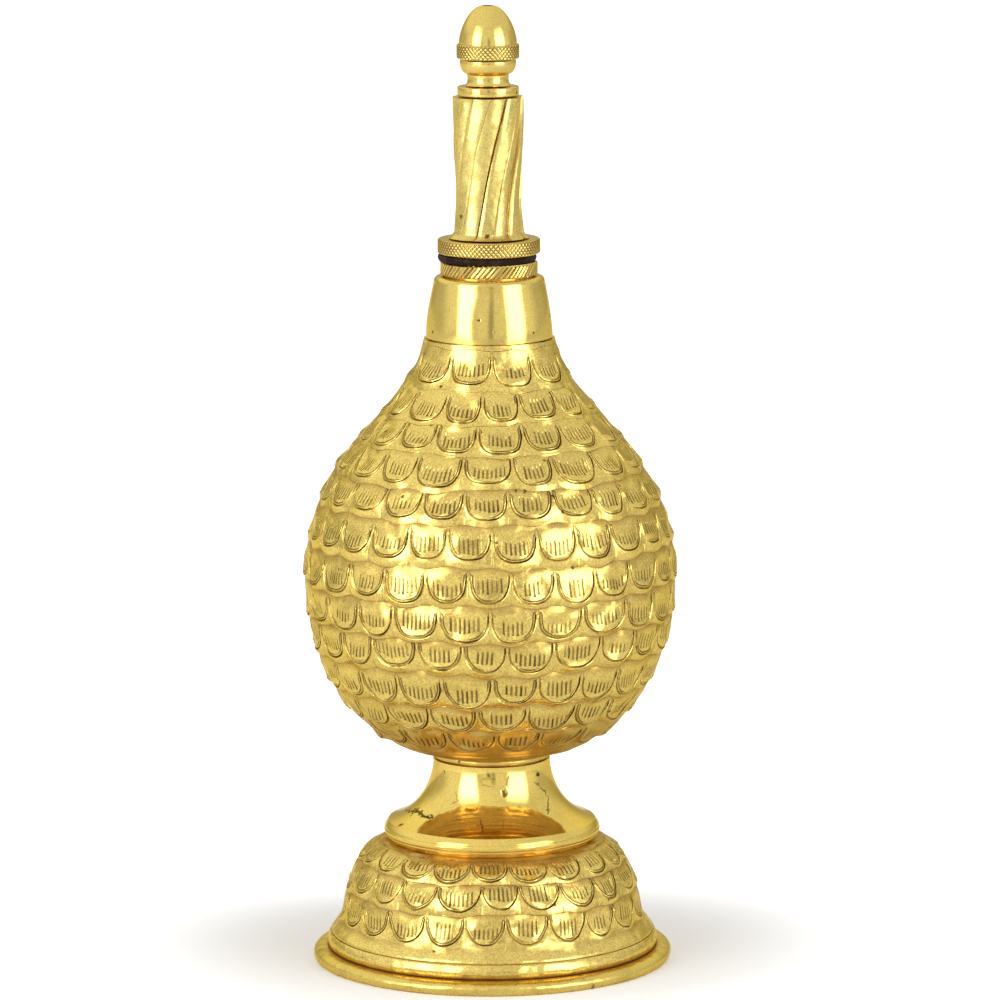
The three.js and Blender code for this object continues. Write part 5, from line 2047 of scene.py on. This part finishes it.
@dataclass
class Studio:
    """The camera, the pale floor, the softboxes and the white room."""

    distance: float = 1.6  # the camera's, in metres
    height: float = 0.384
    aside: float = 0.0038
    pitch: float = 9.326
    roll: float = 0.27
    lens: float = 224.3
    sensor: float = 36.0
    room_light: float = 0.80  # on dull surfaces
    front_wall: Fade = (-0.35, -0.55, 0.0, 1.0)  # where the wall behind the camera starts
    front_middle: float = 0.07  # of that wall's panel
    front_panel: Fade = (0.34, 0.42, 0.93, 0.80)  # the pale panel and the wall
    front_gap: Fade = (0.015, 0.13, 0.45, 1.0)  # the dark camera in it
    side_walls: Fade = (-0.20, 0.34, 1.0, 0.61)  # from the front to the back
    side_shade: Fade = (-0.4, 0.6, 1.0, 0.96)  # from the left to the right
    back_wall: Fade = (0.45, 0.95, 1.0, 0.78)
    ceiling: Fade = (-0.5, 0.7, 1.0, 0.82)  # from the left to the right
    ceiling_edge: tuple[float, float] = (0.12, 0.45)
    floor_size: float = 8.0
    floor_paint: Colour = (0.90, 0.90, 0.90)
    painted_floor_left: Colour = (0.96, 0.955, 0.94)  # painted light: the floor as brass mirrors it and as bounce sees it, lighter on the left
    painted_floor_right: Colour = (0.80, 0.795, 0.78)
    painted_floor_sides: Fade = (-0.4, 0.1, 1.0, 0.0)  # the share of the painted left colour
    glow: Fade = (0.055, 0.145, 0.0, 0.50)  # painted light: the floor's glow to the camera, by the distance from the object
    glow_stretch: tuple[float, float, float] = (1.0, 1.3, 0.0)
    glow_shift: tuple[float, float, float] = (0.0, -0.010, 0.0)
    box_aim: float = 0.13  # the height that the softboxes face
    box_across: Fade = (0.30, 0.5, 1.0, 0.0)  # its light, from the middle out
    box_along: Fade = (0.12, 0.5, 1.0, 0.0)
    softboxes: tuple[Softbox, ...] = (
        Softbox(-46, 0.45, 0.90, 1.70, 19.5),
        Softbox(50, 0.42, 1.04, 1.60, 18.6),
    )

    def place_camera(self) -> None:
        """Places the camera where the photograph was taken from."""
        data = bpy.data.cameras.new("camera")
        data.lens = self.lens
        data.sensor_width = self.sensor
        data.clip_start, data.clip_end = 0.05, 50
        camera = add_object("camera", data)
        camera.location = (self.aside, -self.distance, self.height)
        camera.rotation_euler = (math.radians(90 - self.pitch), math.radians(self.roll), 0)
        bpy.context.scene.camera = camera

    def build(self) -> None:
        """Builds the room and its lights."""
        bpy.context.scene.view_settings.view_transform = "Standard"
        self.build_world()
        self.build_floor()
        for number, box in enumerate(self.softboxes):
            self.hang(box, f"softbox_{number}")

    def hang(self, box: Softbox, name: str) -> None:
        """Hangs a softbox that faces the object.

        Args:
            box: The softbox.
            name: Its name.
        """
        data = bpy.data.lights.new(name, "AREA")
        data.shape = "RECTANGLE"
        data.size, data.size_y = box.wide, box.tall
        data.energy = box.watts
        data.use_nodes = True
        net = Wiring(data.node_tree)
        sheet = net.node("SeparateXYZ", in0=net.node("NewGeometry").outputs["Parametric"]).outputs
        across, along = (net.size(net.minus(sheet[i], 0.5)) for i in (0, 1))
        fall = net.times(net.ramp(across, *self.box_across), net.ramp(along, *self.box_along))
        net.put(fall, data.node_tree.nodes["Emission"].inputs["Strength"])
        light = add_object(name, data)
        turn = math.radians(box.turn)
        light.location = (box.distance * math.sin(turn), -box.distance * math.cos(turn), box.height)
        facing = Vector((0, 0, self.box_aim)) - light.location
        light.rotation_euler = facing.to_track_quat("-Z", "Y").to_euler()

    def build_world(self) -> None:
        """A white room, darker towards the front and the back, where the camera and the doors are."""
        world = bpy.data.worlds.new("room")
        bpy.context.scene.world = world
        world.use_nodes = True
        net = Wiring(world.node_tree)
        shader = world.node_tree.nodes["Background"]
        path = net.node("LightPath")
        x, y, z = net.node("SeparateXYZ", in0=net.node("TexCoord").outputs["Generated"]).outputs
        aside = net.size(net.minus(x, self.front_middle))
        panel = net.times(net.ramp(aside, *self.front_panel), net.ramp(aside, *self.front_gap))
        sides = net.times(net.ramp(y, *self.side_walls), net.ramp(x, *self.side_shade))
        behind = net.times(sides, net.ramp(y, *self.back_wall))
        around = net.blend(net.ramp(y, *self.front_wall), behind, panel)
        seen = net.blend(net.ramp(z, *self.ceiling_edge), around, net.ramp(x, *self.ceiling))
        glossy = net.most(path.outputs["Is Glossy Ray"], path.outputs["Is Transmission Ray"])
        lit = net.blend(glossy, self.room_light, seen)
        shader.inputs["Color"].default_value = (1, 1, 1, 1)
        net.put(net.blend(path.outputs["Is Camera Ray"], lit, 1.0), shader.inputs["Strength"])

    def build_floor(self) -> None:
        """A pale floor that keeps the object's shadow, with painted light: it glows white to the camera away
        from the object.
        """
        half = self.floor_size / 2
        corners = [(-half, -half, 0), (half, -half, 0), (half, half, 0), (-half, half, 0)]
        mesh = bpy.data.meshes.new("floor")
        mesh.from_pydata(corners, [], [(0, 1, 2, 3)])
        floor = add_object("floor", mesh)
        material, net, shader = new_material("floor")
        tree = material.node_tree
        tree.nodes.remove(shader)
        camera = net.node("LightPath").outputs["Is Camera Ray"]
        place = net.node("TexCoord").outputs["Object"]
        aside = net.node("SeparateXYZ", in0=place).outputs[0]
        # Painted light: rays other than the camera's see the floor lighter on the left than on the right
        left = net.ramp(aside, *self.painted_floor_sides)
        painted_reflection = net.mix(left, (*self.painted_floor_right, 1), (*self.painted_floor_left, 1))
        paint = net.node("BsdfDiffuse", Color=net.mix(camera, painted_reflection, (*self.floor_paint, 1)))
        # Painted light: the floor glows white to the camera away from the object, so its shadow fades out
        # beside it
        reach = net.vector_math("MULTIPLY_ADD", in0=place, in1=self.glow_stretch, in2=self.glow_shift)
        beside = net.ramp(net.vector_math("LENGTH", in0=reach), *self.glow)
        glow = net.node("Emission", Color=(1, 1, 1, 1), Strength=net.times(camera, beside))
        both = net.node("AddShader", in0=paint.outputs[0], in1=glow.outputs[0])
        net.put(both.outputs[0], tree.nodes["Material Output"].inputs["Surface"])
        mesh.materials.append(material)


def main() -> None:
    """Builds the scene: the camera, the materials, the object's sub-assemblies and the studio."""
    logging.basicConfig(level=logging.INFO, format="%(name)s: %(message)s")
    studio = Studio()
    studio.place_camera()
    palette = Palette()
    for assembly in (Foot(palette), Vessel(palette), Spout(palette), Cap(palette)):
        assembly.build()
        log.info("%s is done", type(assembly).__name__)
    studio.build()


if __name__ == "__main__":
    main()
